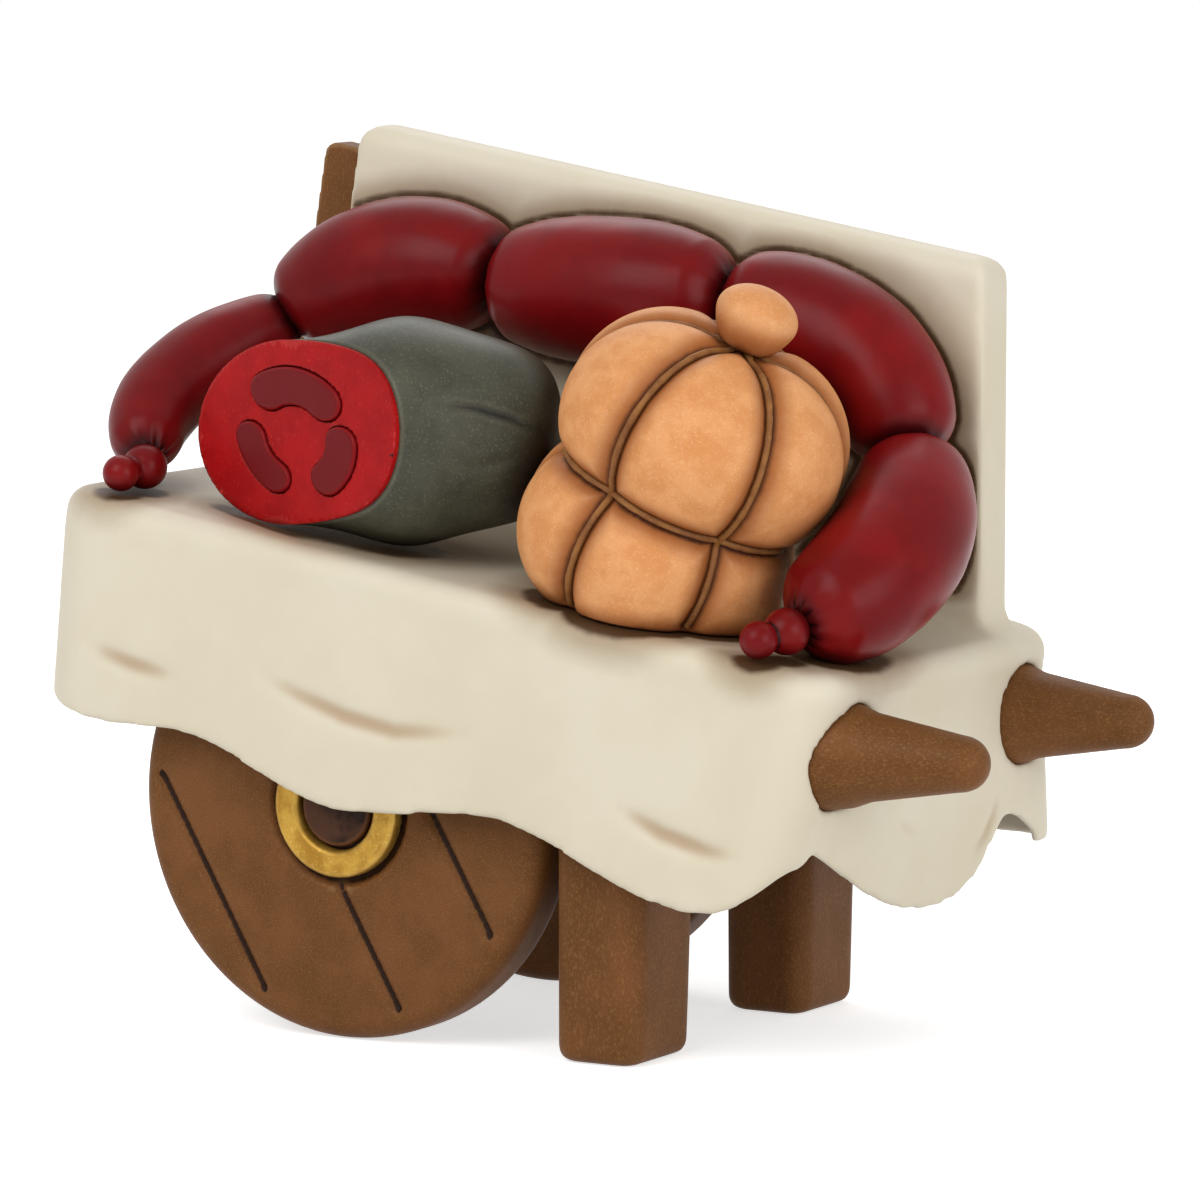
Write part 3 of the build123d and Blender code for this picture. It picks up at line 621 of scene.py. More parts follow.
def brown_paint(grain):
    """Brown matt paint rubbed with gold dust: fine bright flecks, lighter worn edges, and near black lines
    with painted shade in hollows and where pieces meet.
    """
    paint = colours()
    stretch = {"plain": (1.0, 1.0, 1.0), "long": (0.5, 1.0, 1.0), "upright": (1.0, 1.0, 0.5)}[grain]
    return painted_clay(
        f"brown_painted_earthenware_{grain}", paint.wood, tone=(paint.wood_tone, 7.0),
        fleck=(paint.wood_fleck, 0.2, 0.52, 0.4), worn=(paint.wood_worn, 0.3, 0.9, 0.6),
        stroke=paint.wood_line_and_shade, touch=(paint.wood_line_and_shade, 0.55, 0.95), hollow=(paint.wood_line_and_shade, 0.12, 0.55),
        roughness=(0.46, 0.58), grain=(0.5, 0.05), stretch=stretch)


def hub_paint():
    """Dark brown paint of the hub, thinner on its raised edge, with near black painted shade in its hollows.
    """
    paint = colours()
    return painted_clay(
        "dark_painted_earthenware", paint.hub, tone=(paint.wood_line_and_shade, 4.0),
        fleck=(paint.wood, FLECK_MM, 0.64, 0.5), worn=(paint.wood, 0.3, 0.9, 0.5), stroke=paint.wood_line_and_shade,
        touch=(paint.wood_line_and_shade, *PLAIN_TOUCH), hollow=(paint.wood_line_and_shade, 0.06, 0.4), roughness=(0.42, 0.52))


def gold_paint():
    """Gold lustre: half metallic, patchy, with dark wash and painted shade in its hollows; the wheel darkens
    round its foot.
    """
    paint = colours()
    return painted_clay(
        "gold_lustre_glaze", paint.gold, tone=(paint.gold_tone, 3.0),
        fleck=(paint.gold_fleck, 0.4, 0.56, 0.3), worn=(paint.gold_fleck, 0.4, 1.2, 0.5),
        stroke=paint.wood_line_and_shade, touch=(paint.wood_line_and_shade, *PLAIN_TOUCH), hollow=(paint.wood_line_and_shade, 0.1, 0.6),
        roughness=(0.34, 0.46), metallic=0.55)


def sausage_glaze():
    """Burgundy satin glaze: broad soft highlights, with painted shade where the links press on each other and
    in hollows.
    """
    paint = colours()
    return painted_clay(
        "burgundy_glazed_earthenware", paint.sausage, tone=(paint.sausage_tone, 10.0),
        fleck=(paint.sausage_fleck, 0.4, 0.66, 0.3), worn=(paint.sausage_fleck, 0.3, 1.2, 0.2),
        stroke=paint.sausage_line_and_shade, touch=(paint.sausage_line_and_shade, 0.6, 1.05),
        hollow=(paint.sausage_line_and_shade, 0.1, 0.7), roughness=(0.3, 0.36), grain=(1.2, 0.02), shine=0.13)


def casing_glaze():
    """Grey green satin glaze of the salami: thinly speckled, with nearly black painted shade along its foot
    and in its hollows.
    """
    paint = colours()
    return painted_clay(
        "grey_glazed_earthenware", paint.casing, tone=(paint.casing_tone, 8.0),
        fleck=(paint.casing_fleck, 0.28, 0.56, 0.28), worn=(paint.casing_fleck, 0.12, 0.5, 0.15),
        stroke=paint.casing_line_and_shade, touch=(paint.casing_shade, 0.35, 1.0), hollow=(paint.casing_shade, 0.3, 0.9),
        roughness=(0.38, 0.46), grain=(0.5, 0.03), shine=0.24)


def meat_glaze():
    """Bright red glaze of the cut face, finely stippled, with dark lines and painted shade round the inlays.
    """
    paint = colours()
    return painted_clay(
        "red_glazed_earthenware", paint.meat, tone=(paint.meat_tone, 5.0),
        fleck=(paint.meat_fleck, 0.4, 0.6, 0.35), worn=(paint.meat_fleck, 0.6, 1.6, 0.3),
        stroke=paint.sausage_line_and_shade, touch=(paint.sausage_line_and_shade, 0.8, 1.0),
        hollow=(paint.sausage_line_and_shade, 1.6, 3.0), roughness=(0.4, 0.5), grain=(0.5, 0.03))


def inlay_glaze():
    """Deep burgundy glaze of the inlays, smoother than the meat round them, with painted shade at their foot.
    """
    paint = colours()
    return painted_clay(
        "dark_red_glazed_earthenware", paint.inlay, tone=(paint.sausage_tone, 4.0),
        fleck=(paint.meat, FLECK_MM, 0.66, 0.3), worn=(paint.meat, 0.5, 1.6, 0.3), stroke=paint.sausage_line_and_shade,
        touch=(paint.sausage_line_and_shade, 0.93, 1.08), hollow=(paint.sausage_line_and_shade, 0.1, 0.8), roughness=(0.3, 0.4))


def cheese_glaze():
    """Orange buff glaze of the cheese, stippled lighter, with brown wash and painted shade that darken into
    its furrows.
    """
    paint = colours()
    return painted_clay(
        "orange_glazed_earthenware", paint.cheese, tone=(paint.cheese_tone, 3.5),
        fleck=(paint.cheese_fleck, 0.26, 0.55, 0.24), worn=(paint.cheese_fleck, 0.12, 0.6, 0.25),
        stroke=paint.cheese_line_and_shade, touch=(paint.cheese_line_and_shade, 0.8, 1.0), hollow=(paint.cheese_line_and_shade, 0.12, 0.6),
        haze_and_shade=(paint.cheese_haze_and_shade, 0.2, 0.95, 0.9), rag=0.1, roughness=(0.42, 0.52), grain=(0.5, 0.04))


def twine_glaze():
    """Tan glaze of the string, with brown painted shade in its dips."""
    paint = colours()
    return painted_clay(
        "tan_glazed_earthenware", paint.twine, tone=(paint.twine_tone, 3.0),
        fleck=(paint.cheese_fleck, FLECK_MM, 0.62, 0.15), worn=(paint.cheese_fleck, 0.6, 2.0, 0.06),
        stroke=paint.cheese_line_and_shade, touch=(paint.cheese_line_and_shade, 1.2, 1.4), hollow=(paint.cheese_line_and_shade, 0.6, 2.0),
        roughness=(0.42, 0.52), grain=(0.4, 0.03))


def size(label, default, text, low, high):
    """A length in millimetres that a user may change."""
    return FloatProperty(name=label, description=text, default=default, min=low, max=high)


def ratio(label, default, text):
    """A share that a user may change."""
    return FloatProperty(name=label, description=text, default=default, min=0.1, max=1.0, subtype="FACTOR")


def colour(label, text, about):
    """A colour that a user may change, from its sRGB hex value."""
    return FloatVectorProperty(name=label, description=about, subtype="COLOR", size=3, min=0.0, max=1.0,
                               default=linear(text))


class BarrowSizes(bpy.types.PropertyGroup):
    """Sizes of the dressed barrow, in millimetres."""

    cloth_skin: size("Cloth skin", 0.45, "Spacing of the cloth's skin", 0.3, 2.0)
    wood_skin: size("Wood skin", 0.42, "Spacing of the skin of wheels, legs and handles", 0.2, 2.0)
    cheese_skin: size("Cheese skin", 0.36, "Spacing of the skin of the cheese", 0.2, 2.0)
    wheel_bore: size("Wheel bore", 2.3, "Radius of the hole that the axle goes through", 2.1, 3.5)
    # The brown wash and the painted shade with it spread this far from where pieces meet.
    wash_and_shade_reach: size("Wash reach", 7.0, "How far the brown wash spreads from where pieces meet", 1.0, 20.0)
    pleat_depth: size("Pleat depth", 0.12, "Depth of the pleats at a sausage's ends", 0.0, 1.0)
    pleat_count: IntProperty(
        name="Pleats", description="Pleats round a sausage's end", default=11, min=3, max=40)
    pressed_ratio: ratio("Pressed ratio", 0.6, "Width of an end that presses on the next link")
    round_ratio: ratio("Round ratio", 0.62, "Width of a round end as a share of the middle")
    link_lap: size("Link lap", 1.5, "How far a link's round end reaches past its tie", 0.0, 3.0)
    knot_bite: size("Knot bite", 0.7, "How far a free end reaches into its knot", 0.0, 2.0)
    cord_radius: size("Cord radius", 0.38, "Radius of the twine round the cheese", 0.2, 1.5)
    cord_unevenness: size("Cord unevenness", 0.25, "How much the twine's radius varies", 0.0, 1.0)
    furrow_depth: size("Furrow depth", 0.75, "How deep the twine is drawn into the cheese", 0.0, 2.0)
    furrow_width: size("Furrow width", 1.0, "Half width of the furrow beside the twine", 0.3, 3.0)
    knob_seat: size("Knob seat", 1.3, "How far the knob's underside is drawn down to the cheese", 0.0, 4.0)
    handle_flare: size("Handle flare", 0.45, "How much a handle widens where it leaves the cloth", 0.0, 2.0)


class BarrowColours(bpy.types.PropertyGroup):
    """Colours of the dressed barrow."""

    cloth: colour("Cloth", "DED5C0", "Cream slip of the cloth")
    cloth_tone: colour("Cloth tone", "DAD0B8", "Warmer cream in patches of the cloth")
    # Brown rubbed into the cloth's folds, and the painted shade in them.
    fold_and_shade: colour("Fold", "B59A7B", "Brown rubbed into the cloth's folds")
    # Painted shade with thin brown wash, fading from the food over the cloth and the board.
    haze_and_shade: colour("Haze", "805A2E", "Thin brown that fades from the food over the cloth")
    # Dark brown wash with painted shade where food meets the cloth and in its hollows.
    wash: colour("Wash", "43290F", "Dark brown where food meets the cloth")
    wood: colour("Wood", "744A28", "Brown of wheels, legs and handles")
    wood_tone: colour("Wood tone", "67411F", "Deeper brown in patches of the wood")
    wood_fleck: colour("Wood fleck", "976C3F", "Gold dust on the wood")
    # Near black of the wood's lines, also painted shade in hollows and round the hub ring.
    wood_line_and_shade: colour("Wood line", "1D0E07", "Near black in the lines of the wood")
    wood_worn: colour("Worn wood", "97734D", "Lighter brown on worn edges")
    hub: colour("Hub", "4E3122", "Dark brown of the hub")
    gold: colour("Gold", "BE9540", "Gold of the hub ring")
    gold_tone: colour("Gold tone", "A0762C", "Deeper gold in patches")
    gold_fleck: colour("Gold fleck", "DDBB68", "Bright gold on raised spots")
    sausage: colour("Sausage", "7C0D10", "Burgundy of the sausages")
    sausage_tone: colour("Sausage tone", "6C090C", "Deeper burgundy in patches")
    sausage_fleck: colour("Sausage fleck", "8E1C1E", "Lighter red specks")
    # Painted shade where links meet and in hollows, and the dark lines round the inlays.
    sausage_line_and_shade: colour("Sausage dark", "230507", "Nearly black burgundy where links meet")
    casing: colour("Casing", "4A4A3D", "Grey green of the salami's casing")
    casing_tone: colour("Casing tone", "3C3C31", "Deeper grey green in patches")
    casing_fleck: colour("Casing fleck", "857F68", "Pale specks on the casing")
    # Dark grey in the casing's pressed creases, with their painted shade.
    casing_line_and_shade: colour("Casing line", "24231D", "Dark grey in the casing's creases")
    # Nearly black painted shade along the casing's foot and in its hollows.
    casing_shade: colour("Casing dark", "120F0B", "Nearly black along the casing's foot")
    meat: colour("Meat", "AC1012", "Bright red of the cut face")
    meat_tone: colour("Meat tone", "9C0B0F", "Deeper red in patches")
    meat_fleck: colour("Meat fleck", "CC4A42", "Pale specks in the meat")
    inlay: colour("Inlay", "6E0C12", "Burgundy of the inlays")
    cheese: colour("Cheese", "E2A068", "Orange buff of the cheese")
    cheese_tone: colour("Cheese tone", "D79158", "Deeper orange in patches")
    cheese_fleck: colour("Cheese fleck", "F3D0A6", "Pale stipple on the cheese")
    # Painted shade with brown wash, fading from the furrows over the cheese.
    cheese_haze_and_shade: colour("Cheese haze", "98562A", "Brown that fades from the furrows over the cheese")
    # Dark brown in the furrows, with the painted shade there and round the twine.
    cheese_line_and_shade: colour("Cheese line", "48230E", "Dark brown in the cheese's furrows")
    twine: colour("Twine", "93602F", "Tan of the string")
    twine_tone: colour("Twine tone", "784823", "Deeper tan in patches")


def open_bore(wheel):
    """Keeps a wheel's bore open round the axle."""
    points = points_of(wheel.data)
    out = points - HUB
    radius = np.hypot(out[:, 0], out[:, 2])
    bore = settings().wheel_bore * MM
    grow = np.where(radius < bore, bore / np.maximum(radius, TINY), 1.0)
    points[:, 0] = HUB[0] + out[:, 0] * grow
    points[:, 2] = HUB[2] + out[:, 2] * grow
    place_points(wheel.data, points)


class BARROW_OT_wheels(bpy.types.Operator):
    """Makes both wheels, their gold rings and the caps of the axle"""

    bl_idname = "barrow.wheels"
    bl_label = "Wheels"

    def execute(self, context):
        for side in SIDES:
            for name, voxel, rounds, paint, slot, shape in (
                ("wheel", settings().wood_skin, WHEEL_ROUNDS, brown_paint("plain"), "wood_paint", open_bore),
                ("hub_ring", TRIM_SKIN, TRIM_ROUNDS, gold_paint(), "gold_paint", None),
                ("axle_cap", TRIM_SKIN, TRIM_ROUNDS, hub_paint(), "wood_paint", None),
            ):
                clay_piece(f"{side}_{name}_clay", f"{side}_{name}", voxel, rounds, paint, shape)
        return {"FINISHED"}


class BARROW_OT_running_gear(bpy.types.Operator):
    """Paints the axle, its washers and brackets"""

    bl_idname = "barrow.running_gear"
    bl_label = "Running gear"

    def execute(self, context):
        solids = frame["nodes"]
        paint_piece(solids["axle"], hub_paint())
        for side in SIDES:
            paint_piece(solids[f"{side}_washer"], hub_paint())
            paint_piece(solids[f"{side}_axle_bracket"], brown_paint("upright"))
        return {"FINISHED"}


class BARROW_OT_bed(bpy.types.Operator):
    """Paints the deck planks, rails and end beams"""

    bl_idname = "barrow.bed"
    bl_label = "Bed"

    def execute(self, context):
        for name, solid in sorted(frame["nodes"].items()):
            if name.endswith(("_rail", "_beam", "_plank")) or name.startswith("deck_plank"):
                paint_piece(solid, brown_paint("long"))
        return {"FINISHED"}


def flare_handle(handle):
    """Widens a handle where it leaves the cloth, so that it fills its hole."""
    points = points_of(handle.data)
    u, v, w = HANDLE_ROOT
    root = on_bed((u, math.copysign(v, points[:, 1].mean()), w))
    along = (points[:, 0] - root[0]) / MM
    out = points[:, 1:] - root[1:]
    radius = np.maximum(np.linalg.norm(out, axis=1), TINY)
    fade = soft_ramp(along, *FLARE_RUN) * (radius > FLARE_CORE * MM)
    grow = 1 + settings().handle_flare * MM * fade / radius
    points[:, 1:] = root[1:] + out * grow[:, None]
    place_points(handle.data, points)


class BARROW_OT_legs_and_handles(bpy.types.Operator):
    """Makes the two legs and the two handles"""

    bl_idname = "barrow.legs_and_handles"
    bl_label = "Legs and handles"

    def execute(self, context):
        for side in SIDES:
            for name, grain, shape in (("leg", "upright", None), ("handle", "long", flare_handle)):
                clay_piece(f"{side}_{name}_clay", f"{side}_{name}", settings().wood_skin, LIMB_ROUNDS,
                           brown_paint(grain), shape)
        return {"FINISHED"}


def tuck_plank(plank):
    """Tucks the top plank's left corner in under the cloth."""
    places = bed_places(points_of(plank.data))
    above = np.clip(places[:, 2] - STAKE_TOP + TUCK_BELOW, 0, TUCK_RUN)
    places[:, 0] = np.maximum(places[:, 0], LEFT_STAKE_END - TUCK_REACH + TUCK_SLOPE * above)
    place_points(plank.data, on_bed(places))


class BARROW_OT_backboard(bpy.types.Operator):
    """Makes the stakes and the planks between them, the top one tucked in under the cloth"""

    bl_idname = "barrow.backboard"
    bl_label = "Backboard"

    def execute(self, context):
        for name, source, grain, shape in (
            ("left_stake_clay", "left_stake", "upright", None),
            ("right_stake_clay", "right_stake", "upright", None),
            ("top_plank_clay", "backboard_plank_3", "long", tuck_plank),
        ):
            clay_piece(name, source, BOARD_SKIN, BOARD_ROUNDS, brown_paint(grain), shape)
        for index in (1, 2):
            paint_piece(frame["nodes"][f"backboard_plank_{index}"], brown_paint("long"))
        return {"FINISHED"}


def press_folds(cloth, places, facing):
    """Presses the folds into the four skirts of the cloth."""
    for strokes, across, along, way in (
        (FRONT_STROKES, 1, 0, -1),
        (BACK_STROKES, 1, 0, 1),
        (RIGHT_STROKES, 0, 1, 1),
        (LEFT_STROKES, 0, 1, -1),
    ):
        towards = way * facing[:, across] * (way * places[:, across] > 0)
        chosen = (towards > SKIRT_FACING) & (places[:, 2] < SKIRT_TOP)
        press_strokes(cloth, places[:, (along, 2)], chosen, strokes)


def fine_cloth(cloth, places, facing):
    """Which vertices of the cloth carry strokes, a fine edge, or the wash with its painted shade, and stay as
    close as they are.
    """
    u, v, w = HANDLE_ROOT
    lowest, up = FINE_TABLE
    highest, down = FINE_HEM
    along, radius = FINE_HOLE
    table = (places[:, 2] > lowest) & (facing[:, 2] > up) & (places[:, 1] < BOARD_FACE)
    board = (places[:, 2] > CLOTH_TOP) & (facing[:, 1] < -FINE_BOARD)
    hem = (places[:, 2] < highest) & (facing[:, 2] < -down)
    holes = (places[:, 0] > u - along) & (np.hypot(abs(places[:, 1]) - v, places[:, 2] - w) < radius)
    return table | board | hem | holes | (read_values(cloth.data, "stroke") > FINE_MARK)


class BARROW_OT_cloth(bpy.types.Operator):
    """Makes the stiff cloth with its pressed folds"""

    bl_idname = "barrow.cloth"
    bl_label = "Cloth"

    def execute(self, context):
        softening, evening = CLOTH_ROUNDS
        cloth = clay_copy("cloth", "cloth_cover", settings().cloth_skin, softening)
        places = bed_places(points_of(cloth.data))
        facing = normals_of(cloth.data) @ BED_AXES.T
        press_folds(cloth, places, facing)
        mark_bends(cloth, evening)
        thin_skin(cloth, fine_cloth(cloth, places, facing), CLOTH_SHARE)
        dress(cloth, cloth_glaze(), "cloth_cover")
        return {"FINISHED"}


def new_tree(name, inputs, output):
    """Empty node tree with these inputs, each a label and its kind of socket, and one output."""
    tree = bpy.data.node_groups.new(name, "GeometryNodeTree")
    for label, kind in inputs.items():
        tree.interface.new_socket(label, in_out="INPUT", socket_type=f"NodeSocket{kind}")
    tree.interface.new_socket(output, in_out="OUTPUT", socket_type="NodeSocketGeometry")
    return tree


def end_tree(tree, shape, material):
    """Ends a node tree: makes its shape real, sets the material and hands it out."""
    real = node(tree, "GeometryNodeRealizeInstances", inputs={"Geometry": shape})
    made = node(tree, "GeometryNodeSetMaterial", inputs={
        "Geometry": real.outputs["Geometry"], "Material": material})
    node(tree, "NodeGroupOutput", inputs={0: made.outputs["Geometry"]})
    return tree


def sausage_tree():
    """Node tree of one link: a bent spine, a swelling round section and pleats at both ends."""
    tree = new_tree("Sausage link", {
        "Start": "Vector", "Bend": "Vector", "End": "Vector", "Radius": "Float", "Start ratio": "Float",
        "End ratio": "Float", "Start dome": "Float", "End dome": "Float", "Swell power": "Float",
        "Pleats": "Int", "Pleat depth": "Float", "Unevenness": "Float", "Rings": "Int", "Segments": "Int",
        "Skin": "Material"}, "Link")
    ask = node(tree, "NodeGroupInput").outputs
    spine = node(tree, "GeometryNodeCurveQuadraticBezier", inputs={
        "Resolution": ask["Rings"], "Start": ask["Start"], "Middle": ask["Bend"], "End": ask["End"]})
    spine = node(tree, "GeometryNodeResampleCurve", inputs={
        "Curve": spine.outputs["Curve"], "Count": ask["Rings"]})
    ring = node(tree, "GeometryNodeCurvePrimitiveCircle", inputs={
        "Resolution": ask["Segments"], "Radius": 1.0})
    terms = {socket.name: socket for socket in ask}
    lines = []
    for label, line in (("along", spine), ("around", ring)):
        kept = node(tree, "GeometryNodeCaptureAttribute")
        kept.capture_items.new("FLOAT", label)
        tree.links.new(line.outputs["Curve"], kept.inputs["Geometry"])
        tree.links.new(node(tree, "GeometryNodeSplineParameter").outputs["Factor"], kept.inputs[label])
        terms[label] = kept.outputs[label]
        lines.append(kept.outputs["Geometry"])
    terms["noise"] = node(tree, "ShaderNodeTexNoise", inputs={
        "Scale": 1 / (LINK_UNEVEN_RUN * MM), "Detail": 1.0}).outputs["Fac"]
    # Each row is a result, its operation and its terms: earlier results by name, or numbers.
    for result, operation, *values in (
        ("turned", "MULTIPLY_ADD", "along", 2.0, -1.0),
        ("out", "ABSOLUTE", "turned"),
        ("late", "GREATER_THAN", "along", 0.5),
        ("ratio step", "SUBTRACT", "End ratio", "Start ratio"),
        ("ratio", "MULTIPLY_ADD", "late", "ratio step", "Start ratio"),
        ("thinning", "SUBTRACT", "ratio", 1.0),
        ("outness", "POWER", "out", "Swell power"),
        ("swell", "MULTIPLY_ADD", "outness", "thinning", 1.0),
        ("dome step", "SUBTRACT", "End dome", "Start dome"),
        ("dome run", "MULTIPLY_ADD", "late", "dome step", "Start dome"),
        ("inside", "SUBTRACT", 1.0, "out"),
        ("climb", "DIVIDE", "inside", "dome run"),
        ("risen", "MINIMUM", "climb", 1.0),
        ("left", "SUBTRACT", 1.0, "risen"),
        ("left squared", "MULTIPLY", "left", "left"),
        ("rest", "SUBTRACT", 1.0, "left squared"),
        ("rest over 0", "MAXIMUM", "rest", 0.0),
        ("dome", "SQRT", "rest over 0"),
        ("girth", "MULTIPLY", "swell", "dome"),
        ("radius", "MULTIPLY", "girth", "Radius"),
        ("pleats done", "MULTIPLY", "around", "Pleats"),
        ("angle", "MULTIPLY", "pleats done", 2 * math.pi),
        ("wave", "COSINE", "angle"),
        ("endness", "POWER", "out", PLEAT_POWER),
        ("pleat", "MULTIPLY", "wave", "endness"),
        ("pleat lift", "MULTIPLY", "pleat", "Pleat depth"),
        ("centred noise", "SUBTRACT", "noise", 0.5),
        ("uneven lift", "MULTIPLY", "centred noise", "Unevenness"),
        ("lift", "ADD", "pleat lift", "uneven lift"),
    ):
        values = [terms[value] if isinstance(value, str) else value for value in values]
        summed = node(tree, "ShaderNodeMath", {"operation": operation}, dict(enumerate(values)))
        terms[result] = summed.outputs[0]
    skin = node(tree, "GeometryNodeCurveToMesh", inputs={
        "Curve": lines[0], "Profile Curve": lines[1], "Scale": terms["radius"], "Fill Caps": False})
    shift = node(tree, "ShaderNodeVectorMath", {"operation": "SCALE"}, {
        0: node(tree, "GeometryNodeInputNormal").outputs["Normal"], "Scale": terms["lift"]})
    moved = node(tree, "GeometryNodeSetPosition", inputs={
        "Geometry": skin.outputs["Mesh"], "Offset": shift.outputs["Vector"]})
    closed = node(tree, "GeometryNodeMergeByDistance", inputs={
        "Geometry": moved.outputs["Geometry"], "Distance": TIP_WELD * MM})
    return end_tree(tree, closed.outputs["Geometry"], ask["Skin"])


def run_tree(piece, tree, **values):
    """Runs a node tree on a piece with these inputs, and keeps what it makes as the piece's own mesh."""
    step = piece.modifiers.new(tree.name, "NODES")
    step.node_group = tree
    names = {item.name: item.identifier for item in tree.interface.items_tree if item.in_out == "INPUT"}
    for name, value in values.items():
        step[names[name.replace("_", " ")]] = value
    bake(piece)
    with editing(piece.data) as shell:
        bmesh.ops.recalc_face_normals(shell, faces=shell.faces)


def reach_knot(tie, knot):
    """Point just inside a knot, on the side that looks at a tie."""
    points = points_of(frame["nodes"][knot].data)
    out = points - tie
    away = np.linalg.norm(out, axis=1)
    nearest = np.argmin(away)
    return points[nearest] + out[nearest] / max(away[nearest], TINY) * settings().knot_bite * MM


class BARROW_OT_sausages(bpy.types.Operator):
    """Makes the string of five sausages and the knots at its ends"""

    bl_idname = "barrow.sausages"
    bl_label = "Sausages"

    def execute(self, context):
        tree, sizes, skin = sausage_tree(), settings(), sausage_glaze()
        ties, middles = (
            [on_bed((u, BOARD_FACE + v, CLOTH_TOP + w)) for u, v, w in places]
            for places in (SAUSAGE_TIES, SAUSAGE_MIDDLES))
        for index, (start, middle, end) in enumerate(zip(ties, middles, ties[1:])):
            piece = add_object(f"sausage_{index + 1}", bpy.data.meshes.new("sausage"))
            bend = middle * 2 - (start + end) / 2
            end_ratio, end_dome = sizes.pressed_ratio, PRESSED_DOME
            if index == 0:
                start = reach_knot(start, "left_sausage_knot")
            else:
                start = start + (start - bend) / np.linalg.norm(start - bend) * sizes.link_lap * MM
            if index == len(middles) - 1:
                end = reach_knot(end, "right_sausage_knot")
                end_ratio, end_dome = sizes.round_ratio, ROUND_DOME
            run_tree(piece, tree, Start=tuple(start), Bend=tuple(bend), End=tuple(end),
                     Radius=SAUSAGE_RADII[index] * MM, Start_ratio=sizes.round_ratio,
                     Start_dome=ROUND_DOME, End_ratio=end_ratio, End_dome=end_dome, Swell_power=SWELL_POWER,
                     Pleats=sizes.pleat_count, Pleat_depth=sizes.pleat_depth * MM,
                     Unevenness=LINK_UNEVENNESS * MM, Rings=LINK_RINGS, Segments=LINK_SEGMENTS, Skin=skin)
            mark_bends(piece, LINK_EVENING)
            dress(piece, skin, f"sausage_link_{index + 1}")
        for side in ("left", "right"):
            clay_piece(f"{side}_knot", f"{side}_sausage_knot", TRIM_SKIN, KNOT_ROUNDS, skin)
        return {"FINISHED"}


def face_places(mesh):
    """Angle and radius of a mesh's vertices round the middle of the cut face, and their height over it."""
    out = bed_places(points_of(mesh)) - SALAMI_FACE
    level, height = out @ SALAMI_FACE_LEVEL, out @ SALAMI_FACE_WAY
    return np.arctan2(out[:, 2], level), np.hypot(level, out[:, 2]), height


def cut_rim(angles):
    """Radius of the casing's outer edge on the cut face at these angles, in millimetres."""
    angle, radius, height = face_places(frame["nodes"]["salami_casing"].data)
    edge = abs(height) < RIM_DEPTH
    angle, radius = angle[edge], radius[edge]
    outer = convex_hull_2d(np.column_stack((radius * np.cos(angle), radius * np.sin(angle))).tolist())
    return np.interp(angles, angle[outer], radius[outer], period=2 * math.pi)


def spread_meat(meat):
    """Spreads the cut meat over the casing's edge, so that its red reaches the outside."""
    angle, radius, height = face_places(meat.data)
    rim = cut_rim(angle)
    front = ramp(height, *MEAT_FRONT)
    outside = ramp(radius / rim, *MEAT_EDGE) * front
    radius = np.minimum(radius * (1 + MEAT_SPREAD * outside), np.maximum(rim, radius))
    height = height + MEAT_LIFT * front
    level = np.outer(radius * np.cos(angle), SALAMI_FACE_LEVEL)
    places = SALAMI_FACE + level + np.outer(height, SALAMI_FACE_WAY)
    places[:, 2] += radius * np.sin(angle)
    place_points(meat.data, on_bed(places))


def shape_casing(casing):
    """Creases the casing, holds its edge back from the cut face and draws out its tail."""
    places = bed_places(points_of(casing.data))
    ahead = -(normals_of(casing.data) @ BED_AXES.T)[:, 1]
    press_strokes(casing, places[:, (0, 2)], ahead > CREASE_FACING, CASING_STROKES)
    proud = np.maximum((places - SALAMI_FACE) @ SALAMI_FACE_WAY + CASING_BACK, 0)
    tail = soft_ramp(places[:, 0], SALAMI_TAIL_START, SALAMI_TAIL_START + SALAMI_TAIL_RUN)
    shift = np.outer(tail, SALAMI_TAIL_SHIFT) - np.outer(proud, SALAMI_FACE_WAY)
    place_points(casing.data, points_of(casing.data) + shift @ BED_AXES * MM)


class BARROW_OT_salami(bpy.types.Operator):
    """Makes the salami's casing, its cut face and the inlays"""

    bl_idname = "barrow.salami"
    bl_label = "Salami"

    def execute(self, context):
        for name, voxel, rounds, paint, slot, shape in (
            ("salami_casing", SMOOTH_SKIN, CASING_ROUNDS, casing_glaze(), "salami_casing", shape_casing),
            ("salami_cut_face", MEAT_SKIN, MEAT_ROUNDS, meat_glaze(), "salami_meat", spread_meat),
            ("salami_inlays", INLAY_SKIN, INLAY_ROUNDS, inlay_glaze(), "salami_inlay", None),
        ):
            clay_piece(f"{name}_clay", name, voxel, rounds, paint, shape)
        return {"FINISHED"}


def cheese_axes():
    """Foot of the cheese and its axes, in the frame."""
    foot = on_bed(CHEESE_FOOT)
    ahead = BED_U * math.cos(CHEESE_LEAN) - BED_W * math.sin(CHEESE_LEAN)
    up = BED_U * math.sin(CHEESE_LEAN) + BED_W * math.cos(CHEESE_LEAN)
    out = ahead * math.cos(CHEESE_TURN) + BED_V * math.sin(CHEESE_TURN)
    across = BED_V * math.cos(CHEESE_TURN) - ahead * math.sin(CHEESE_TURN)
    return foot, out, across, up


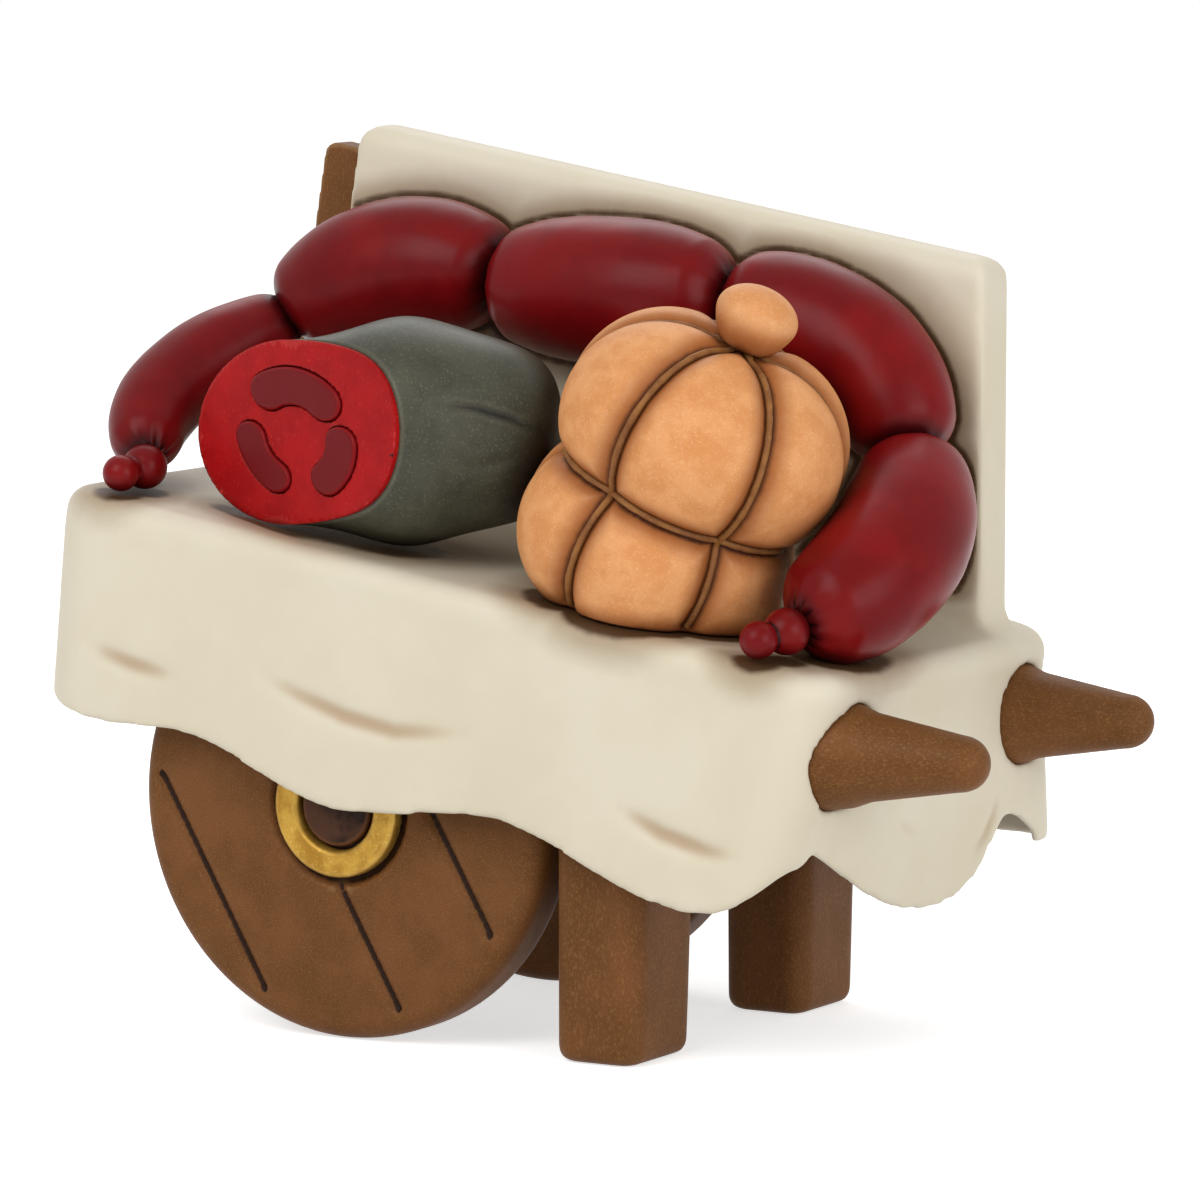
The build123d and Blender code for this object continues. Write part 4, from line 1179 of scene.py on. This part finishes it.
def cheese_lobes():
    """Mesh of the balls that make the cheese's lobes, as on the solid but without the twine's grooves."""
    foot, out, across, up = cheese_axes()
    places = [(CHEESE_CROWN[0], foot + up * CHEESE_CROWN[1] * MM)]
    for radius, height in CHEESE_TIERS:
        for turn in np.arange(CHEESE_LOBES) * 2 * math.pi / CHEESE_LOBES:
            way = out * math.cos(turn) + across * math.sin(turn)
            places.append((radius, foot + (way * CHEESE_RING + up * height) * MM))
    mesh = bpy.data.meshes.new("cheese_lobes")
    with editing(mesh) as balls:
        for radius, place in places:
            ball = bmesh.ops.create_icosphere(balls, subdivisions=BALL_SUBDIVISIONS, radius=radius * MM)
            bmesh.ops.translate(balls, verts=ball["verts"], vec=Vector(place))
    return mesh


def twine_path(body):
    """Points and edges that follow the furrows over the cheese and round its waist, just under its skin."""
    foot, out, across, up = cheese_axes()
    tree = search_tree(body)
    heart = foot + up * CHEESE_WAIST * MM
    points, edges = [], []

    def lay(first_way, second_way, arc):
        first = len(points)
        for angle in np.radians(np.arange(*arc, TWINE_STEP)):
            way = first_way * math.cos(angle) + second_way * math.sin(angle)
            hit = tree.ray_cast(Vector(heart), Vector(way))[0]
            if hit is not None and bed_places(np.array(hit))[2] > CHEESE_FOOT[2] + TWINE_CLEAR:
                points.append(np.array(hit) - way * TWINE_SINK * MM)
        last = len(points) - 1
        edges.extend((index, index + 1) for index in range(first, last))
        return first, last

    for index in range(CHEESE_LOBES // 2):
        turn = math.pi / CHEESE_LOBES * (2 * index + 1)
        lay(out * math.cos(turn) + across * math.sin(turn), up, TWINE_ARC)
    first, last = lay(out, across, (0.0, 360.0))
    edges.append((last, first))
    return np.array(points), edges


def point_tree(points):
    """Search tree over points."""
    tree = KDTree(len(points))
    for index, point in enumerate(points):
        tree.insert(point, index)
    tree.balance()
    return tree


def draw_furrows(body, points):
    """Draws the cheese in along its twine."""
    tree = point_tree(points)
    mesh = body.data
    gaps = np.array([tree.find(vertex.co)[2] for vertex in mesh.vertices]) / MM
    beside = np.maximum(gaps - TWINE_SINK, 0) / settings().furrow_width
    dent = settings().furrow_depth * np.exp(-(beside**2))
    foot, *_, up = cheese_axes()
    inward = foot + up * CHEESE_WAIST * MM - points_of(mesh)
    inward /= np.linalg.norm(inward, axis=1)[:, None]
    places = bed_places(points_of(mesh) + inward * dent[:, None] * MM)
    places[:, 2] = np.maximum(places[:, 2], CHEESE_FOOT[2])
    place_points(mesh, on_bed(places))


def twine_tree():
    """Node tree of the twine: a soft cord of uneven thickness along a path."""
    tree = new_tree("Soft cord", {
        "Path": "Geometry", "Cord radius": "Float", "Unevenness": "Float", "Step": "Float", "Segments": "Int",
        "String": "Material"}, "Twine")
    ask = node(tree, "NodeGroupInput").outputs
    path = node(tree, "GeometryNodeMeshToCurve", inputs={"Mesh": ask["Path"]})
    path = node(tree, "GeometryNodeResampleCurve", {"mode": "LENGTH"},
                {"Curve": path.outputs["Curve"], "Length": ask["Step"]})
    ring = node(tree, "GeometryNodeCurvePrimitiveCircle", inputs={
        "Resolution": ask["Segments"], "Radius": 1.0})
    noise = node(tree, "ShaderNodeTexNoise", inputs={"Scale": 1 / (CORD_UNEVEN_RUN * MM), "Detail": 1.0})
    swell = node(tree, "ShaderNodeMath", {"operation": "SUBTRACT"}, {0: noise.outputs["Fac"], 1: 0.5})
    radius = node(tree, "ShaderNodeMath", {"operation": "MULTIPLY_ADD"}, {
        0: swell.outputs[0], 1: ask["Unevenness"], 2: ask["Cord radius"]})
    skin = node(tree, "GeometryNodeCurveToMesh", inputs={
        "Curve": path.outputs["Curve"], "Profile Curve": ring.outputs["Curve"], "Scale": radius.outputs[0],
        "Fill Caps": True})
    return end_tree(tree, skin.outputs["Mesh"], ask["String"])


def seat_knob(knob):
    """Draws the knob's underside down to the cheese."""
    *_, up = cheese_axes()
    points = points_of(knob.data)
    height = points @ up
    low = ramp(height, (height.min() + height.max()) / 2, height.min())
    place_points(knob.data, points - np.outer(low**KNOB_SEAT_POWER, up) * settings().knob_seat * MM)


class BARROW_OT_cheese(bpy.types.Operator):
    """Makes the tied cheese, its twine and its knob"""

    bl_idname = "barrow.cheese"
    bl_label = "Cheese"

    def execute(self, context):
        sizes = settings()
        softening, evening = CHEESE_ROUNDS
        body = clay_skin("cheese", cheese_lobes(), sizes.cheese_skin, softening)
        points, edges = twine_path(body)
        draw_furrows(body, points)
        mark_bends(body, evening)
        dress(body, cheese_glaze(), "cheese_body")
        path = bpy.data.meshes.new("twine_path")
        path.from_pydata(points.tolist(), edges, [])
        twine = add_object("twine", path)
        run_tree(twine, twine_tree(), Cord_radius=sizes.cord_radius * MM,
                 Unevenness=sizes.cord_unevenness * MM, Step=CORD_STEP * MM, Segments=CORD_SIDES,
                 String=twine_glaze())
        mark_bends(twine, TWINE_EVENING)
        dress(twine, twine_glaze(), "cheese_twine")
        clay_piece("cheese_knob_clay", "cheese_knob", SMOOTH_SKIN, KNOB_ROUNDS, cheese_glaze(),
                   seat_knob)
        return {"FINISHED"}


def on_picture(points):
    """Points of the frame as the photo shows them, flat, in millimetres to the right and up."""
    out = points - EYE
    scale = EYE_FAR / MM / (-out @ EYE_WAY)
    return np.column_stack((out @ EYE_RIGHT * scale, out @ EYE_UP * scale, np.zeros(len(points))))


def mark_halo(cloth, links, link_trees):
    """Adds to the cloth's nearness the painted line, haze and shade on the board round the sausages, as seen
    from the eye.
    """
    mesh = cloth.data
    points = points_of(mesh)
    rise = ramp(bed_places(points)[:, 2], CLOTH_TOP, CLOTH_TOP + HALO_FOOT)
    share = rise * ramp(-(normals_of(mesh) @ BED_AXES.T)[:, 1], *HALO_FACING)
    board = np.flatnonzero(share)
    spots = on_picture(points)
    eye = Vector(EYE)
    hidden = np.array([any(tree.ray_cast(eye, Vector(points[index]) - eye)[0] for tree in link_trees)
                       for index in board])
    outline = point_tree(np.concatenate([on_picture(points_of(link.data)) for link in links]))
    shown = point_tree(spots[board[~hidden]])
    paint = np.zeros(len(points))
    for index, behind in zip(board, hidden):
        gap = HALO_STEP - shown.find(spots[index])[2] if behind else outline.find(spots[index])[2]
        paint[index] = np.interp(gap, HALO_GAPS, HALO_NEARNESS) * share[index]
    paint = spread(mesh, paint, HALO_ROUNDS)
    write_values(mesh, "nearness", np.maximum(read_values(mesh, "nearness"), paint))


class BARROW_OT_wash_and_shade(bpy.types.Operator):
    """Works out where pieces meet, so that the brown wash and the painted shade with it settle there"""

    bl_idname = "barrow.wash"
    bl_label = "Wash"

    def execute(self, context):
        links = [f"sausage_{index + 1}" for index in range(len(SAUSAGE_RADII))]
        salami = ["salami_casing_clay", "salami_cut_face_clay", "salami_inlays_clay"]
        names = ["cloth", *salami, "cheese", "cheese_knob_clay", *links, "left_knot", "right_knot"]
        pieces = {name: bpy.data.objects[name] for name in names}
        trees = {name: search_tree(piece) for name, piece in pieces.items()}
        for name, piece in pieces.items():
            apart = salami if name == "salami_casing_clay" else [name]
            partners = WASH_AND_SHADE_PARTNERS.get(name) or [other for other in names if other not in apart]
            others = [trees[other] for other in partners]
            if name == "cheese":
                others.append(search_tree(bpy.data.objects["twine"]))
            mark_nearness(piece, others, WASH_AND_SHADE_REACHES.get(name, settings().wash_and_shade_reach))
        # Painted line, haze and painted shade on the board round the sausages, laid out from the eye.
        mark_halo(pieces["cloth"], [pieces[name] for name in links], [trees[name] for name in links])
        for side in SIDES:
            ring = search_tree(bpy.data.objects[f"{side}_hub_ring_clay"])
            mark_nearness(bpy.data.objects[f"{side}_wheel_clay"], [ring], RING_REACH)
        return {"FINISHED"}


def aim(thing, place, way):
    """Sets a camera or a lamp at a place, so that it looks along a way."""
    thing.location = place
    thing.rotation_mode = "QUATERNION"
    thing.rotation_quaternion = Vector(way).to_track_quat("-Z", "Y")


def seen_rays(tree):
    """Socket that is 1 for what is seen, straight, mirrored or through something clear."""
    ray = node(tree, "ShaderNodeLightPath").outputs
    seen = ray["Is Camera Ray"]
    for kind in ("Is Glossy Ray", "Is Transmission Ray"):
        seen = node(tree, "ShaderNodeMath", {"operation": "MAXIMUM"}, {0: seen, 1: ray[kind]}).outputs[0]
    return seen


def studio_world():
    """Soft light from all round, before a white background."""
    world = bpy.data.worlds.new("studio")
    world.use_nodes = True
    tree = world.node_tree
    tree.nodes.clear()
    plain, white = (
        node(tree, "ShaderNodeBackground", inputs={"Color": WHITE, "Strength": strength}).outputs[0]
        for strength in (WORLD_LIGHT, 1.0))
    blend = node(tree, "ShaderNodeMixShader", inputs={0: seen_rays(tree), 1: plain, 2: white})
    node(tree, "ShaderNodeOutputWorld", inputs={"Surface": blend.outputs["Shader"]})
    return world


def studio_paper():
    """White matt paper: it takes the object's shadow and runs into the background."""
    paper = bpy.data.materials.new("white_studio_paper")
    paper.use_nodes = True
    tree = paper.node_tree
    tree.nodes.clear()
    glow = node(tree, "ShaderNodeMath", {"operation": "MULTIPLY"}, {0: seen_rays(tree), 1: PAPER_GLOW})
    sheet = node(tree, "ShaderNodeBsdfDiffuse", inputs={"Color": PAPER})
    light = node(tree, "ShaderNodeEmission", inputs={"Color": WHITE, "Strength": glow.outputs[0]})
    both = node(tree, "ShaderNodeAddShader", inputs={0: sheet.outputs["BSDF"], 1: light.outputs["Emission"]})
    node(tree, "ShaderNodeOutputMaterial", inputs={"Surface": both.outputs["Shader"]})
    return paper


class BARROW_OT_stage(bpy.types.Operator):
    """Sets the floor, the soft lights and the camera"""

    bl_idname = "barrow.stage"
    bl_label = "Stage"

    def execute(self, context):
        scene = context.scene
        scene.view_settings.view_transform = "Standard"
        scene.world = studio_world()
        lens = bpy.data.cameras.new("camera")
        lens.lens, lens.sensor_width = LENS, SENSOR
        lens.clip_start, lens.clip_end = CLIP_START, CLIP_END
        scene.camera = add_object("camera", lens)
        aim(scene.camera, EYE, -EYE_WAY)

        middle = np.array(LAMP_AIM)
        level = np.array((math.sin(EYE_TURN), -math.cos(EYE_TURN), 0.0))
        for name, towards, right, up, watts in LAMPS:
            lamp = bpy.data.lights.new(name, "AREA")
            lamp.energy, lamp.size = watts, LAMP_WIDTH
            out = level * towards + EYE_RIGHT * right + np.array((0.0, 0.0, up))
            aim(add_object(name, lamp), middle + out, -out)

        mesh = bpy.data.meshes.new("floor")
        with editing(mesh) as ground:
            bmesh.ops.create_circle(ground, cap_ends=True, segments=FLOOR_SEGMENTS, radius=FLOOR_RADIUS)
            bmesh.ops.translate(ground, verts=ground.verts, vec=(0.0, 0.0, -FLOOR_DROP))
        mesh.materials.append(studio_paper())
        add_object("floor", mesh)
        return {"FINISHED"}


class BARROW_PT_panel(bpy.types.Panel):
    """Lists the pieces of the barrow in the sidebar."""

    bl_label = "Market barrow"
    bl_idname = "BARROW_PT_panel"
    bl_space_type = "VIEW_3D"
    bl_region_type = "UI"
    bl_category = "Barrow"

    def draw(self, context):
        for maker in OPERATORS:
            self.layout.operator(maker.bl_idname)
        for group in (context.scene.barrow_sizes, context.scene.barrow_colours):
            box = self.layout.box()
            for name in group.bl_rna.properties.keys():
                if name not in ("rna_type", "name"):
                    box.prop(group, name)


OPERATORS = (
    BARROW_OT_wheels,
    BARROW_OT_running_gear,
    BARROW_OT_bed,
    BARROW_OT_legs_and_handles,
    BARROW_OT_backboard,
    BARROW_OT_cloth,
    BARROW_OT_sausages,
    BARROW_OT_salami,
    BARROW_OT_cheese,
    BARROW_OT_wash_and_shade,
    BARROW_OT_stage,
)
CLASSES = (BarrowSizes, BarrowColours, *OPERATORS, BARROW_PT_panel)


def register():
    """Adds the classes and the scene's settings."""
    for made in CLASSES:
        bpy.utils.register_class(made)
    bpy.types.Scene.barrow_sizes = PointerProperty(type=BarrowSizes)
    bpy.types.Scene.barrow_colours = PointerProperty(type=BarrowColours)


def unregister():
    """Takes the classes and the scene's settings away."""
    del bpy.types.Scene.barrow_colours
    del bpy.types.Scene.barrow_sizes
    for made in reversed(CLASSES):
        bpy.utils.unregister_class(made)


def main():
    """Dresses the barrow."""
    register()
    bpy.ops.barrow.wheels()
    bpy.ops.barrow.running_gear()
    bpy.ops.barrow.bed()
    bpy.ops.barrow.legs_and_handles()
    bpy.ops.barrow.backboard()
    bpy.ops.barrow.cloth()
    bpy.ops.barrow.sausages()
    bpy.ops.barrow.salami()
    bpy.ops.barrow.cheese()
    bpy.ops.barrow.wash()
    bpy.ops.barrow.stage()


if __name__ == "__main__":
    main()
